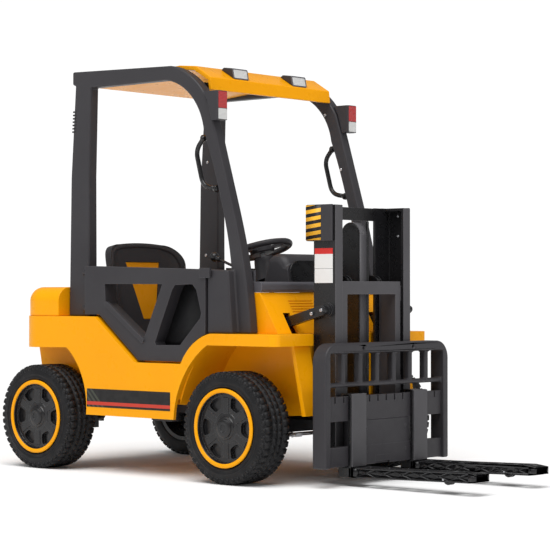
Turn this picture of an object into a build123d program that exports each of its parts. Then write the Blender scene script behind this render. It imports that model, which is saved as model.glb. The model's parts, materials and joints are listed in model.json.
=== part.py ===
from build123d import *
import math
import os

# A child's electric ride-on forklift, in millimetres.
# +X is forward, +Y is left, +Z is up, and the floor is Z = 0.
# Distances along the truck are given from the rear axle. The rear axle stands at
# rear_axle_x, which puts the origin under the middle of the whole truck.

# ---- driving dimensions -------------------------------------------------------------
rear_axle_x = -528.0
wheelbase = 619.0
tyre_radius = 125.0
tyre_inner_y = 210.0        # inner side face of each tyre
tyre_outer_y = 298.0        # outer side face of each tyre
wheel_outer_y = 300.0       # face of the yellow trim ring
axle_radius = 8.0
running_fit = 0.06          # radial clearance of a shaft in its bore
seam = 0.3                  # gap between neighbouring mouldings

body_half = 275.0           # half width of the yellow body
body_skin = 8.0             # wall thickness of the yellow body
rear_end_x = -95.0          # back of the counterweight
rear_corner = 75.0          # its corner radius seen from above
arch_top_z = 293.0          # flat top of the rear wheel arch
ledge_z = 367.0             # ledge on which the cab stands
cover_top_z = 437.0         # top of the counterweight cover
sill_z = 135.0              # lower edge of the body side
door_sill_z = 262.0         # body edge under the door
fender_z = 332.0            # top of the front fenders
fender_front_x = 752.0
fender_corner = 20.0        # its corner radius seen from above
lip_z = 306.0               # lower edge of the lip around the fender
nose_x = 735.0              # front wall of the body, behind the mast
floor_z = 176.0             # footwell floor
deck_z = 266.0              # deck under the seat
well_wall_y = 195.0         # inner wall of the rear wheel wells
front_well_y = 150.0        # inner wall of the front wheel wells

cab_outer_y = 240.0         # outer face of the cab side frames
cab_inner_y = 212.0
cab_top_z = 956.0

door_inner_y = 228.0
door_outer_y = 265.0
door_rear_x = 140.0
door_front_x = 534.0
door_hinge_x = 133.0
door_hinge_y = 247.0
knuckle_radius = 6.5        # hinge knuckles round the pin
hinge_pin_radius = 3.0

steering_x = 468.0          # centre of the steering wheel
steering_z = 525.0
steering_radius = 75.0
steering_tilt = 17.0        # lean of the column back from upright, in degrees
kingpin_y = 185.0
arm_length = 60.0           # steering arm behind the kingpin

mast_front_x = 805.0
mast_rear_x = 743.0
mast_outer_y = 135.0
mast_inner_y = 110.0
rear_flange_y = 76.0        # inner edge of the wider rear flanges
mast_wall = 6.0
mast_bottom_z = 45.0
mast_top_z = 618.0
carriage_front_x = 800.0
carriage_top_z = 449.0
backrest_front_x = 850.0
backrest_rear_x = 812.0
backrest_half = 223.0
backrest_top_z = 313.0
backrest_bottom_z = 42.0
fork_inner_y = 86.0
fork_outer_y = 137.0
fork_tip_x = 1181.0
fork_bottom_z = 20.0
blade_top_z = 43.0
shank_front_x = 854.0
fork_roller_x = 1098.0

sides = (("right", -1), ("left", 1))


# ---- helpers ------------------------------------------------------------------------
def at(x, y, z):
    """Point at x ahead of the rear axle."""
    return (rear_axle_x + x, y, z)


def side(y):
    """Upright plane along the truck: sketch x runs forward, sketch y runs up."""
    return Plane(origin=at(0, y, 0), x_dir=(1, 0, 0), z_dir=(0, -1, 0))


def level(z):
    """Flat plane: sketch x runs forward from the rear axle, sketch y runs left."""
    return Plane(origin=at(0, 0, z))


def across(x, z=0.0):
    """Upright plane across the truck: sketch x runs left, sketch y runs up from z."""
    return Plane(origin=at(x, 0, z), x_dir=(0, 1, 0), z_dir=(1, 0, 0))


def block(x1, x2, y1, y2, z1, z2, mode=Mode.ADD):
    """Box between two corners."""
    with Locations(at((x1 + x2) / 2, (y1 + y2) / 2, (z1 + z2) / 2)):
        Box(x2 - x1, abs(y2 - y1), z2 - z1, mode=mode)


def blocks_both_sides(x1, x2, y1, y2, z1, z2, mode=Mode.ADD):
    """The same box on the right and on the left."""
    for _, s in sides:
        block(x1, x2, s * y1, s * y2, z1, z2, mode)


def cross_rod(x, y1, y2, z, radius, mode=Mode.ADD):
    """Round bar along Y between y1 and y2."""
    with Locations(at(x, (y1 + y2) / 2, z)):
        Cylinder(radius, abs(y2 - y1), rotation=(90, 0, 0), mode=mode)


def upright_rod(x, y, z1, z2, radius, mode=Mode.ADD):
    """Round bar along Z between z1 and z2."""
    with Locations(at(x, y, (z1 + z2) / 2)):
        Cylinder(radius, z2 - z1, mode=mode)


def write(builder, name):
    builder.part.label = name
    export_step(builder.part, f"parts/{name}.step")


os.makedirs("parts", exist_ok=True)

# ---- chassis frame: two steel rails, axle hangers and the plate that holds the mast ---
rail_y1 = 90.0
rail_y2 = 110.0
rail_bottom_z = 138.0
rail_top_z = 164.0
with BuildPart() as chassis_frame:
    blocks_both_sides(-30, 736, rail_y1, rail_y2, rail_bottom_z, rail_top_z)
    for cross_x in (-30, 250, 520):
        block(cross_x, cross_x + 25, -rail_y1, rail_y1, rail_bottom_z, rail_top_z)
    blocks_both_sides(-22, 22, rail_y1, rail_y1 + 8, 105, rail_bottom_z)
    block(736, 742.7, -mast_outer_y, mast_outer_y, rail_bottom_z, 185)
    cross_rod(0, -rail_y2, rail_y2, tyre_radius, axle_radius + seam, Mode.SUBTRACT)
write(chassis_frame, "chassis_frame")

# ---- body shell: the big yellow moulding with sides, floor, wheel arches and nose -----
with BuildPart() as body_shell:
    with BuildSketch(side(-body_half)):
        with BuildLine():
            Polyline((466, door_sill_z), (318, door_sill_z), (182, ledge_z), (rear_end_x, ledge_z),
                     (rear_end_x, 291), (-90, 240), (-70, 180), (-40, 150), (155, sill_z),
                     (444, sill_z), (720, 150), (775, 153), (740, lip_z),
                     (fender_front_x, lip_z), (fender_front_x, fender_z), (556, fender_z))
            ThreePointArc((466, door_sill_z), (500, 304.5), (556, fender_z))
        make_face()
    extrude(amount=-2 * body_half)
    rear_corners = body_shell.edges().filter_by(Axis.Z).group_by(Axis.X)[0]
    fillet(rear_corners, rear_corner)
    # rear wheel wells
    for _, s in sides:
        with BuildSketch(side(s * well_wall_y)):
            with BuildLine():
                Polyline((86, arch_top_z), (-110, arch_top_z), (-110, 90), (155, 90), (155, sill_z))
                ThreePointArc((155, sill_z), (131, 243), (86, arch_top_z))
            make_face()
        extrude(amount=-s * 100, mode=Mode.SUBTRACT)
    # front wheel wells: open to the side, closed in front by the apron at the inner end
    # and by a lip further out, which runs into the band along the fender's edge
    for _, s in sides:
        for start_y, depth, well_front in (
            (front_well_y, 50, ((548, 322), (728, 322), (764, 153), (764, 90))),
            (200, 68, ((548, 322), (742, 322), (742, lip_z), (790, lip_z), (790, 90))),
            (260, 30, ((548, lip_z), (790, lip_z), (790, 90))),
        ):
            with BuildSketch(side(s * start_y)):
                with BuildLine():
                    Polyline(*well_front, (444, 90), (444, sill_z))
                    ThreePointArc((444, sill_z), (495, 261), well_front[0])
                make_face()
            extrude(amount=-s * depth, mode=Mode.SUBTRACT)
        # rounded front corner of the fender
        corner_x = fender_front_x - fender_corner
        corner_y = body_half - fender_corner
        with BuildSketch(level(lip_z - 1)):
            with BuildLine():
                Line((corner_x, s * body_half), (corner_x, s * (body_half + 5)))
                Line((corner_x, s * (body_half + 5)), (fender_front_x + 5, s * (body_half + 5)))
                Line((fender_front_x + 5, s * (body_half + 5)), (fender_front_x + 5, s * corner_y))
                Line((fender_front_x + 5, s * corner_y), (fender_front_x, s * corner_y))
                RadiusArc((fender_front_x, s * corner_y), (corner_x, s * body_half),
                          -s * fender_corner)
            make_face()
        extrude(amount=fender_z - lip_z + 2, mode=Mode.SUBTRACT)
    # room for the mast in front of the nose, and the slot behind the lift column
    block(nose_x, 800, -147, 147, 90, 340, Mode.SUBTRACT)
    block(700, 800, -147, 147, 90, 190, Mode.SUBTRACT)
    block(718, 800, -17, 17, 185, 340, Mode.SUBTRACT)
    # battery bay, seat deck and footwell, open upwards
    block(rear_end_x + body_skin, 57, -187, 187, deck_z, 400, Mode.SUBTRACT)
    block(-20, 178, -267, 267, arch_top_z + body_skin, ledge_z - body_skin, Mode.SUBTRACT)
    block(57, 300, -238, 238, deck_z, 400, Mode.SUBTRACT)
    block(290, 452, -238, 238, floor_z, 400, Mode.SUBTRACT)
    block(452, 592, -142, 142, floor_z, 400, Mode.SUBTRACT)
    # hollows below, open downwards
    block(-62, 292, -187, 187, 100, deck_z - body_skin, Mode.SUBTRACT)
    block(163, 292, -267, 267, 100, deck_z - body_skin, Mode.SUBTRACT)
    block(163, 452, -267, 267, 100, floor_z - body_skin, Mode.SUBTRACT)
    blocks_both_sides(300, 452, 246, 267, 100, door_sill_z - body_skin, Mode.SUBTRACT)
    block(163, 610, -142, 142, 100, floor_z - body_skin, Mode.SUBTRACT)
    block(600, nose_x - body_skin, -142, 142, 100, fender_z - body_skin, Mode.SUBTRACT)
    block(585, 655, -160, 160, 90, 155, Mode.SUBTRACT)
    cross_rod(0, -200, 200, tyre_radius, 32, Mode.SUBTRACT)
    # steering shaft hole in the floor, and ears that hold the pedal
    block(560, 590, -16, 16, 150, 200, Mode.SUBTRACT)
    for ear_y in (-96, -40):
        block(500, 514, ear_y, ear_y + 6, floor_z - 1, floor_z + 16)
    cross_rod(507, -98, -32, floor_z + 9, 3 + running_fit, Mode.SUBTRACT)
write(body_shell, "body_shell")

# ---- rear cover: rounded yellow lid over the battery bay -------------------------------
cover_front_x = 54.0
with BuildPart() as rear_cover:
    with BuildSketch(level(ledge_z + seam)):
        with BuildLine():
            Polyline((cover_front_x, body_half - 3), (rear_end_x + 3, body_half - 3),
                     (rear_end_x + 3, 3 - body_half), (cover_front_x, 3 - body_half), close=True)
        make_face()
    extrude(amount=cover_top_z - ledge_z - seam)
    fillet(rear_cover.edges().filter_by(Axis.Z).group_by(Axis.X)[0], rear_corner - 3)
    fillet(rear_cover.faces().sort_by(Axis.Z)[-1].edges().sort_by(Axis.X)[:-1], 34)
    with BuildSketch(level(ledge_z)):
        with Locations(((rear_end_x + 10 + cover_front_x - 6) / 2, 0)):
            RectangleRounded(cover_front_x - rear_end_x - 16, 2 * body_half - 20, 60)
    extrude(amount=cover_top_z - ledge_z - 36, mode=Mode.SUBTRACT)
write(rear_cover, "rear_cover")

# ---- front bulkhead: sloping yellow panel under the dash, with vents and strut slots ---
hood_half = 211.0
hood_base_z = fender_z + seam
hood_top_z = 424.0
hood_edge_x = 650.0         # top and foot of its sloping face
hood_foot_x = 704.0
hood_lean = (hood_foot_x - hood_edge_x) / (hood_top_z - hood_base_z)
with BuildPart() as front_bulkhead:
    with BuildSketch(side(-hood_half)):
        with BuildLine():
            Polyline((604, hood_base_z), (604, hood_top_z), (hood_edge_x, hood_top_z),
                     (hood_foot_x, hood_base_z), close=True)
        make_face()
    extrude(amount=-2 * hood_half)
    with BuildSketch(side(-hood_half + 6)):
        with BuildLine():
            Polyline((610, hood_base_z - 1), (610, hood_top_z - 6), (646, hood_top_z - 6),
                     (696, hood_base_z - 1), close=True)
        make_face()
    extrude(amount=-2 * hood_half + 12, mode=Mode.SUBTRACT)
    # shallow vent grooves in the sloping face
    for vent in range(5):
        vent_z = 379 + 6 * vent
        slope_x = hood_edge_x + (hood_top_z - vent_z) * hood_lean
        blocks_both_sides(slope_x - 2.5, slope_x + 5, 45, 128, vent_z, vent_z + 2.4, Mode.SUBTRACT)
    blocks_both_sides(640, 710, 140, 164, hood_base_z - 1, 378, Mode.SUBTRACT)
write(front_bulkhead, "front_bulkhead")

# ---- dash: grey shelf, instrument cowl and steering column housing ---------------------
column_tilt = math.radians(steering_tilt)
column_up = (-math.sin(column_tilt), 0.0, math.cos(column_tilt))


def column_plane(below):
    """Plane across the steering column, this far below the wheel's centre."""
    centre = (steering_x - below * column_up[0], 0, steering_z - below * column_up[2])
    return Plane(origin=at(*centre), x_dir=(column_up[2], 0, -column_up[0]), z_dir=column_up)


shelf_top_z = 448.0
with BuildPart() as dash_shelf:
    block(548, 656, -hood_half, hood_half, hood_top_z + seam, shelf_top_z)
    block(445, 548, -60, 60, hood_top_z + seam, shelf_top_z)
    fillet(dash_shelf.edges().filter_by(Axis.Y).group_by(Axis.X)[-1], 8)
    fillet(dash_shelf.edges().filter_by(Axis.Z).group_by(Axis.X)[0], 30)
    blocks_both_sides(590, 612, 182, 187, shelf_top_z - 1, 474)
    blocks_both_sides(590, 612, 197, 202, shelf_top_z - 1, 474)
    cross_rod(601, -203, 203, 466, 3 + running_fit, Mode.SUBTRACT)
    with BuildSketch(column_plane(60)):
        Circle(9)
    extrude(amount=-60, mode=Mode.SUBTRACT)
write(dash_shelf, "dash_shelf")

with BuildPart() as dash_cowl:
    with BuildSketch(side(-96)):
        with BuildLine():
            Line((550, shelf_top_z + seam), (636, shelf_top_z + seam))
            Line((636, shelf_top_z + seam), (630, 490))
            ThreePointArc((630, 490), (602, 512), (566, 500))
            Line((566, 500), (550, shelf_top_z + seam))
        make_face()
    extrude(amount=-192)
    fillet(dash_cowl.edges().filter_by(Axis.Y).group_by(Axis.Z)[-1], 3)
    fillet(dash_cowl.faces().sort_by(Axis.Y)[0].edges().group_by(Axis.Z)[-1], 20)
    fillet(dash_cowl.faces().sort_by(Axis.Y)[-1].edges().group_by(Axis.Z)[-1], 20)
write(dash_cowl, "dash_cowl")

with BuildPart() as column_housing:
    with BuildSketch(column_plane(74)):
        Ellipse(34, 30)
    with BuildSketch(column_plane(22)):
        Ellipse(25, 22)
    loft()
    with BuildSketch(column_plane(90)):
        Circle(8)
    extrude(amount=90, mode=Mode.SUBTRACT)
    block(400, 600, -60, 60, 400, shelf_top_z + seam, Mode.SUBTRACT)
write(column_housing, "column_housing")

# ---- steering: wheel, shaft with its crank, tie rod and the two knuckles ---------------
shaft_radius = 6.0
crank_x = wheelbase - arm_length
with BuildPart() as steering_wheel:
    with BuildSketch(column_plane(0)):
        Circle(30)
    extrude(amount=-10)
    with BuildSketch(column_plane(0)):
        for spoke_angle in (20, 160, 270):
            with Locations(Rotation(0, 0, spoke_angle) * Location((44, 0))):
                Rectangle(44, 15)
    extrude(amount=-6)
    rim_centre = column_plane(0)
    with BuildSketch(Plane(origin=rim_centre.origin, x_dir=rim_centre.x_dir, z_dir=(0, -1, 0))):
        with Locations((steering_radius - 8, 0)):
            Circle(8)
    revolve(axis=Axis(rim_centre.origin, rim_centre.z_dir))
    with BuildSketch(column_plane(0)):
        Circle(28)
    extrude(amount=5)
write(steering_wheel, "steering_wheel")

shaft_length = 424.0
crank_throw = 36.0
with BuildPart() as steering_shaft:
    with BuildSketch(column_plane(10)):
        Circle(shaft_radius)
    extrude(amount=-shaft_length)
    crank_plane = column_plane(10 + shaft_length)
    with BuildSketch(crank_plane):
        with Locations((-crank_throw / 2, 0)):
            SlotOverall(crank_throw + 14, 12)
    extrude(amount=6)
    with BuildSketch(crank_plane):
        with Locations((-crank_throw, 0)):
            Circle(3)
    extrude(amount=-14)
write(steering_shaft, "steering_shaft")

beam_z1 = 106.0
beam_z2 = 142.0
with BuildPart() as front_axle_beam:
    block(wheelbase - 14, wheelbase + 14, -(kingpin_y - 4), kingpin_y - 4, beam_z1, beam_z2)
    for _, s in sides:
        upright_rod(wheelbase, s * kingpin_y, beam_z1, beam_z2, 14)
        upright_rod(wheelbase, s * kingpin_y, 90, 160, 6 + running_fit, Mode.SUBTRACT)
    blocks_both_sides(wheelbase - 15, wheelbase + 15, rail_y1 - 1, rail_y2 + 1, rail_bottom_z, 150,
                      Mode.SUBTRACT)
write(front_axle_beam, "front_axle_beam")

for side_name, s in sides:
    with BuildPart() as knuckle:
        upright_rod(wheelbase, s * kingpin_y, 98, 150, 6)
        upright_rod(wheelbase, s * kingpin_y, 98, beam_z1 - 0.5, 13)
        upright_rod(wheelbase, s * kingpin_y, beam_z2 + 0.5, 150, 13)
        block(wheelbase - 12, wheelbase + 12, s * kingpin_y, s * 207, 98, beam_z1 - 0.5)
        block(wheelbase - 12, wheelbase + 12, s * kingpin_y, s * 207, beam_z2 + 0.5, 150)
        block(wheelbase - 12, wheelbase + 12, s * 200.5, s * 207, 98, 150)
        cross_rod(wheelbase, s * 202, s * 287, tyre_radius, axle_radius)
        block(crank_x - 6, wheelbase, s * (kingpin_y - 6), s * (kingpin_y + 6), 98, beam_z1 - 0.5)
        upright_rod(crank_x, s * kingpin_y, 86, 100, 4)
    write(knuckle, f"knuckle_{side_name}")

pin_slots = ((-kingpin_y, 9, 9, 5), (0, 12, 20, 5.5), (kingpin_y, 9, 9, 5))
with BuildPart() as tie_rod:
    cross_rod(crank_x, -kingpin_y, kingpin_y, 92, 4.5)
    for slot_y, behind, ahead, half_y in pin_slots:
        block(crank_x - behind - 5, crank_x + ahead + 5, slot_y - half_y - 5, slot_y + half_y + 5, 88, 96)
    for slot_y, behind, ahead, half_y in pin_slots:
        block(crank_x - behind, crank_x + ahead, slot_y - half_y, slot_y + half_y, 80, 100,
              Mode.SUBTRACT)
write(tie_rod, "tie_rod")

# ---- rear axle and drive ----------------------------------------------------------------
with BuildPart() as rear_axle:
    cross_rod(0, -287, 287, tyre_radius, axle_radius)
write(rear_axle, "rear_axle")

with BuildPart() as drive_gearboxes:
    for _, s in sides:
        block(-26, 44, s * 128, s * 184, 92, 152)
        cross_rod(0, s * 184, s * 204, tyre_radius, 30)
        cross_rod(36, s * 112, s * 128, 126, 16)
        cross_rod(0, s * 100, s * 206, tyre_radius, axle_radius + seam, Mode.SUBTRACT)
write(drive_gearboxes, "drive_gearboxes")

# ---- wheels: tyre, and rim with its raised trim ring --------------------------------------
tyre_bore = 88.0
rim_radius = tyre_bore - 0.2
ring_inner = 78.0
rim_pockets = 6


def wheel_plane(x):
    """Plane across the truck through an axle: sketch x runs left, sketch y is the radius."""
    return across(x, tyre_radius)


def axle_line(x):
    return Axis(at(x, 0, tyre_radius), (0, 1, 0))


for axle_name, axle_x in (("rear", 0.0), ("front", wheelbase)):
    for side_name, s in sides:
        with BuildPart() as tyre:
            with BuildSketch(wheel_plane(axle_x)):
                with BuildLine():
                    Polyline((s * 214, tyre_bore), (s * tyre_inner_y, 96), (s * tyre_inner_y, 108))
                    ThreePointArc((s * tyre_inner_y, 108), (s * 213.5, 119), (s * 223, tyre_radius))
                    Line((s * 223, tyre_radius), (s * 285, tyre_radius))
                    ThreePointArc((s * 285, tyre_radius), (s * 294.5, 119), (s * tyre_outer_y, 108))
                    Polyline((s * tyre_outer_y, 108), (s * tyre_outer_y, 96), (s * 296, tyre_bore),
                             (s * 214, tyre_bore))
                make_face()
                for groove_y in (238, 254, 270):
                    with Locations((s * groove_y, tyre_radius - 2)):
                        Rectangle(5, 5, mode=Mode.SUBTRACT)
            revolve(axis=axle_line(axle_x))
        write(tyre, f"{axle_name}_tyre_{side_name}")

        with BuildPart() as rim:
            with BuildSketch(wheel_plane(axle_x)):
                for y1, y2, r1, r2 in (
                    (214.5, 297, 77.6, rim_radius),
                    (270, 288, 12, 81),
                    (209, 292, axle_radius + running_fit, 19),
                    (290, 298, 0, 19),
                    (296, wheel_outer_y, ring_inner, rim_radius),
                ):
                    with Locations((s * (y1 + y2) / 2, (r1 + r2) / 2)):
                        Rectangle(y2 - y1, r2 - r1)
            revolve(axis=axle_line(axle_x))
            with BuildSketch(Plane(origin=at(axle_x, s * 279, tyre_radius), x_dir=(1, 0, 0),
                                   z_dir=(0, s, 0))):
                with PolarLocations(59, rim_pockets):
                    RectangleRounded(27, 34, 8)
            extrude(amount=20, mode=Mode.SUBTRACT)
        write(rim, f"{axle_name}_rim_{side_name}")

# ---- cab side frames: rear post, top rail, curved front post and lower corner panel -------
panel_rear_x = door_front_x + 3
panel_outer_y = 262.0
for side_name, s in sides:
    with BuildPart() as cab_side:
        with BuildSketch(side(s * cab_inner_y)):
            with BuildLine():
                Polyline((128, ledge_z + seam), (57, ledge_z + seam), (63, 700), (78, 922),
                         (68, 924), (68, cab_top_z), (398, 946))
                ThreePointArc((398, 946), (473, 911), (519, 857))
                Spline((519, 857), (568, 699), (611, 552), (647, hood_base_z),
                       tangents=((0.32, -0.95), (0.08, -1)))
                Line((647, hood_base_z), (598, hood_base_z))
                Spline((598, hood_base_z), (583, 519), (550, 654), (503, 792),
                       tangents=((-0.06, 1), (-0.38, 0.92)))
                ThreePointArc((503, 792), (458, 877), (382, 914))
                Polyline((382, 914), (132, 914), (126, 700), (128, ledge_z + seam))
            make_face()
        extrude(amount=-s * (cab_outer_y - cab_inner_y))
        with BuildSketch(side(s * 224)):
            with BuildLine():
                Polyline((panel_rear_x, hood_base_z), (panel_rear_x, 476), (600, 473),
                         (612, hood_base_z), close=True)
            make_face()
        extrude(amount=-s * (panel_outer_y - 224))
        for knuckle_z in (378, 466):
            upright_rod(door_hinge_x, s * door_hinge_y, knuckle_z, knuckle_z + 12, knuckle_radius)
            block(110, door_hinge_x, s * 230, s * door_hinge_y, knuckle_z, knuckle_z + 12)
            upright_rod(door_hinge_x, s * door_hinge_y, knuckle_z, knuckle_z + 12,
                        hinge_pin_radius + running_fit, Mode.SUBTRACT)
    write(cab_side, f"cab_side_{side_name}")

# ---- doors ----------------------------------------------------------------------------------
for side_name, s in sides:
    with BuildPart() as door:
        with BuildSketch(side(s * door_inner_y)):
            with BuildLine():
                Polyline((519, 324), (door_front_x, 331), (door_front_x, 476), (door_rear_x, 487),
                         (door_rear_x, 372), (190, 372), (320, 267), (460, 267))
                ThreePointArc((460, 267), (482, 297), (519, 324))
            make_face()
            with BuildLine():
                Polyline((208, 444), (398, 443), (342, 323), (325, 318), (211, 398), close=True)
            make_face(mode=Mode.SUBTRACT)
        extrude(amount=-s * (door_outer_y - door_inner_y))
        # front window, closed by a thin inner panel
        with BuildSketch(side(s * (door_inner_y + 3))):
            with BuildLine():
                Polyline((439, 441), (493, 443), (506, 430), (521, 378), (518, 366), (455, 304),
                         (378, 303), (375, 310), (430, 430), close=True)
            make_face()
        extrude(amount=-s * 50, mode=Mode.SUBTRACT)
        for knuckle_z in (390.5, 453.5):
            upright_rod(door_hinge_x, s * door_hinge_y, knuckle_z, knuckle_z + 12, knuckle_radius)
            block(door_hinge_x, door_rear_x + 2, s * 241, s * 253, knuckle_z, knuckle_z + 12)
            upright_rod(door_hinge_x, s * door_hinge_y, knuckle_z, knuckle_z + 12,
                        hinge_pin_radius + running_fit, Mode.SUBTRACT)
        # slanting pull bar across the rear window, and the latch at the front edge
        with BuildSketch(side(s * (door_outer_y - 4))):
            with Locations(Location((276, 355), math.degrees(math.atan2(-83, 118)))):
                SlotCenterToCenter(146, 11)
        extrude(amount=-s * 8)
        block(520, 551, s * (door_outer_y - 1), s * (door_outer_y + 5), 457, 479)
    write(door, f"door_{side_name}")

with BuildPart() as door_hinge_pins:
    for _, s in sides:
        upright_rod(door_hinge_x, s * door_hinge_y, 376, 403, hinge_pin_radius)
        upright_rod(door_hinge_x, s * door_hinge_y, 453, 480, hinge_pin_radius)
write(door_hinge_pins, "door_hinge_pins")

# ---- roof: yellow panel with a sloping visor, cross bar, lamps ---------------------------------
roof_half = cab_inner_y - seam
with BuildPart() as roof_panel:
    with BuildSketch(side(-roof_half)):
        with BuildLine():
            Polyline((120, 916), (120, 926), (400, 949), (452, 944), (500, 915), (503, 886),
                     (495, 886), (491, 909), (448, 934), (400, 939), close=True)
        make_face()
    extrude(amount=-2 * roof_half)
write(roof_panel, "roof_panel")

with BuildPart() as roof_cross_bar:
    block(472, 488, -roof_half, roof_half, 889, 904)
    fillet(roof_cross_bar.edges().filter_by(Axis.Y), 5)
write(roof_cross_bar, "roof_cross_bar")

lamp_width = 52.0
with BuildPart() as roof_lamps:
    for _, s in sides:
        with BuildSketch(side(s * 104)):
            with BuildLine():
                Polyline((456.6, 941.6), (496.2, 917.7), (491, 943), (464, 946.5), close=True)
            make_face()
        extrude(amount=lamp_width / 2, both=True)
write(roof_lamps, "roof_lamps")

with BuildPart() as side_lamp_housings:
    for _, s in sides:
        with BuildSketch(side(s * 216)):
            with BuildLine():
                Polyline((535, 812), (553, 812), (553, 879), (509, 879), (521.5, 857), close=True)
            make_face()
        extrude(amount=-s * 31)
write(side_lamp_housings, "side_lamp_housings")

with BuildPart() as side_lamp_lenses:
    for _, s in sides:
        block(553, 558, s * 217, s * 246, 813, 838.8)
        block(553, 558, s * 217, s * 246, 839.2, 878)
write(side_lamp_lenses, "side_lamp_lenses")

for side_name, s in sides:
    with BuildPart() as grab_handle:
        with BuildLine(side(s * 229)) as handle_path:
            Polyline((498, 777), (471, 748), (494, 665), (541, 657))
        with BuildSketch(Plane(origin=handle_path.line @ 0, z_dir=handle_path.line % 0)):
            Circle(5.5)
        sweep(transition=Transition.ROUND)
    write(grab_handle, f"grab_handle_{side_name}")

screw_spots = ((85, 520), (90, 760), (486, 858), (536, 722), (574, 590), (600, 490))
with BuildPart() as frame_screws:
    for _, s in sides:
        for screw_x, screw_z in screw_spots:
            cross_rod(screw_x, s * cab_inner_y, s * (cab_inner_y - 2), screw_z, 4)
    fillet(frame_screws.faces().filter_by(Axis.Y).group_by(SortBy.AREA)[0].edges(), 0.5)
write(frame_screws, "frame_screws")

# ---- seat and what is under it --------------------------------------------------------------------
with BuildPart() as seat_base:
    with BuildSketch(side(-150)):
        with BuildLine():
            Polyline((75, deck_z + seam), (75, 300), (110, 306), (290, 318))
            ThreePointArc((290, 318), (310, 308), (306, 290))
            Polyline((306, 290), (290, deck_z + seam), (75, deck_z + seam))
        make_face()
    extrude(amount=-300)
    fillet(seat_base.faces().sort_by(Axis.Y)[0].edges().group_by(Axis.Z)[-1], 12)
    fillet(seat_base.faces().sort_by(Axis.Y)[-1].edges().group_by(Axis.Z)[-1], 12)
write(seat_base, "seat_base")

seat_back_plane = Plane(origin=at(104, 0, 308), x_dir=(0, 1, 0), z_dir=(1, 0, 0.19))
seat_plan_plane = Plane(origin=seat_back_plane.origin, x_dir=(0, 1, 0),
                        z_dir=seat_back_plane.y_dir)
with BuildPart() as seat_back:
    with BuildSketch(seat_back_plane.offset(30)):
        with BuildLine():
            Polyline((-98, 0), (-126, 110), (-130, 185))
            ThreePointArc((-130, 185), (-114, 224), (-75, 240))
            ThreePointArc((-75, 240), (0, 244), (75, 240))
            ThreePointArc((75, 240), (114, 224), (130, 185))
            Polyline((130, 185), (126, 110), (98, 0), (-98, 0))
        make_face()
    extrude(amount=-54)
    # seen from above, its sides bend forward
    with BuildSketch(seat_plan_plane):
        with BuildLine():
            Line((-62, 0), (62, 0))
            ThreePointArc((62, 0), (104, -7), (134, -26))
            Line((134, -26), (134, -6))
            ThreePointArc((134, -6), (104, 16), (62, 24))
            Line((62, 24), (-62, 24))
            ThreePointArc((-62, 24), (-104, 16), (-134, -6))
            Line((-134, -6), (-134, -26))
            ThreePointArc((-134, -26), (-104, -7), (-62, 0))
        make_face()
    extrude(amount=250, mode=Mode.INTERSECT)
    with BuildSketch(seat_back_plane.offset(5)):
        with BuildLine():
            Polyline((-22, 50), (-60, 196), (60, 196), (22, 50), close=True)
        make_face()
    extrude(amount=-40, mode=Mode.SUBTRACT)
write(seat_back, "seat_back")

with BuildPart() as seat_back_inlay:
    with BuildSketch(seat_back_plane.offset(-2)):
        with BuildLine():
            Polyline((-21.4, 50.6), (-59.3, 195.6), (59.3, 195.6), (21.4, 50.6), close=True)
        make_face()
    extrude(amount=-16)
write(seat_back_inlay, "seat_back_inlay")

with BuildPart() as battery:
    block(-60, 34, -76, 76, deck_z, 362)
    fillet(battery.edges().filter_by(Axis.Z), 3)
write(battery, "battery")

with BuildPart() as control_box:
    block(-50, 30, 92, 168, deck_z, 300)
    fillet(control_box.edges().filter_by(Axis.Z), 4)
write(control_box, "control_box")

with BuildPart() as sill_decals:
    blocks_both_sides(158, 434, body_half, body_half + 0.6, 154, 197)
write(sill_decals, "sill_decals")

# ---- controls ------------------------------------------------------------------------------------------
lever_y = -192.0
lever_tilt = math.radians(20)
with BuildPart() as lift_lever:
    lever_plane = Plane(origin=at(601, lever_y, 466), x_dir=(0, 1, 0),
                        z_dir=(-math.cos(lever_tilt), 0, math.sin(lever_tilt)))
    with BuildSketch(lever_plane.offset(103)):
        Circle(11)
    extrude(amount=22)
    fillet(lift_lever.edges(), 9)
    with BuildSketch(lever_plane.offset(5)):
        Circle(3.5)
    extrude(amount=102)
    cross_rod(601, lever_y - 4.5, lever_y + 4.5, 466, 7)
    cross_rod(601, lever_y - 10, lever_y + 10, 466, 3)
write(lift_lever, "lift_lever")

with BuildPart() as accelerator_pedal:
    with BuildSketch(side(-88.5)):
        with BuildLine():
            Polyline((502, floor_z + 4), (502, floor_z + 14), (576, floor_z + 38),
                     (578, floor_z + 30), (514, floor_z + 4), close=True)
        make_face()
    extrude(amount=-47)
    cross_rod(507, -96, -34, floor_z + 9, 3)
write(accelerator_pedal, "accelerator_pedal")

# ---- mast: outer channels with cross members, caps, plates, struts and the lift column --------------
with BuildPart() as outer_mast:
    blocks_both_sides(mast_rear_x, mast_front_x, mast_outer_y - mast_wall, mast_outer_y,
                      mast_bottom_z, mast_top_z)
    blocks_both_sides(mast_rear_x, mast_rear_x + mast_wall, rear_flange_y, mast_outer_y,
                      mast_bottom_z, mast_top_z)
    blocks_both_sides(mast_front_x - mast_wall, mast_front_x, mast_inner_y, mast_outer_y,
                      mast_bottom_z, mast_top_z)
    block(mast_rear_x, mast_rear_x + mast_wall, -mast_inner_y, mast_inner_y, 588, 617)
    block(mast_rear_x, mast_rear_x + mast_wall, -mast_inner_y, mast_inner_y, mast_bottom_z, 80)
    blocks_both_sides(mast_rear_x, mast_front_x, mast_inner_y, mast_outer_y, mast_top_z - mast_wall,
                      mast_top_z)
    # bosses for the struts
    for _, s in sides:
        cross_rod(785, s * mast_outer_y, s * 141, 385, 16)
write(outer_mast, "outer_mast")

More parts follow.
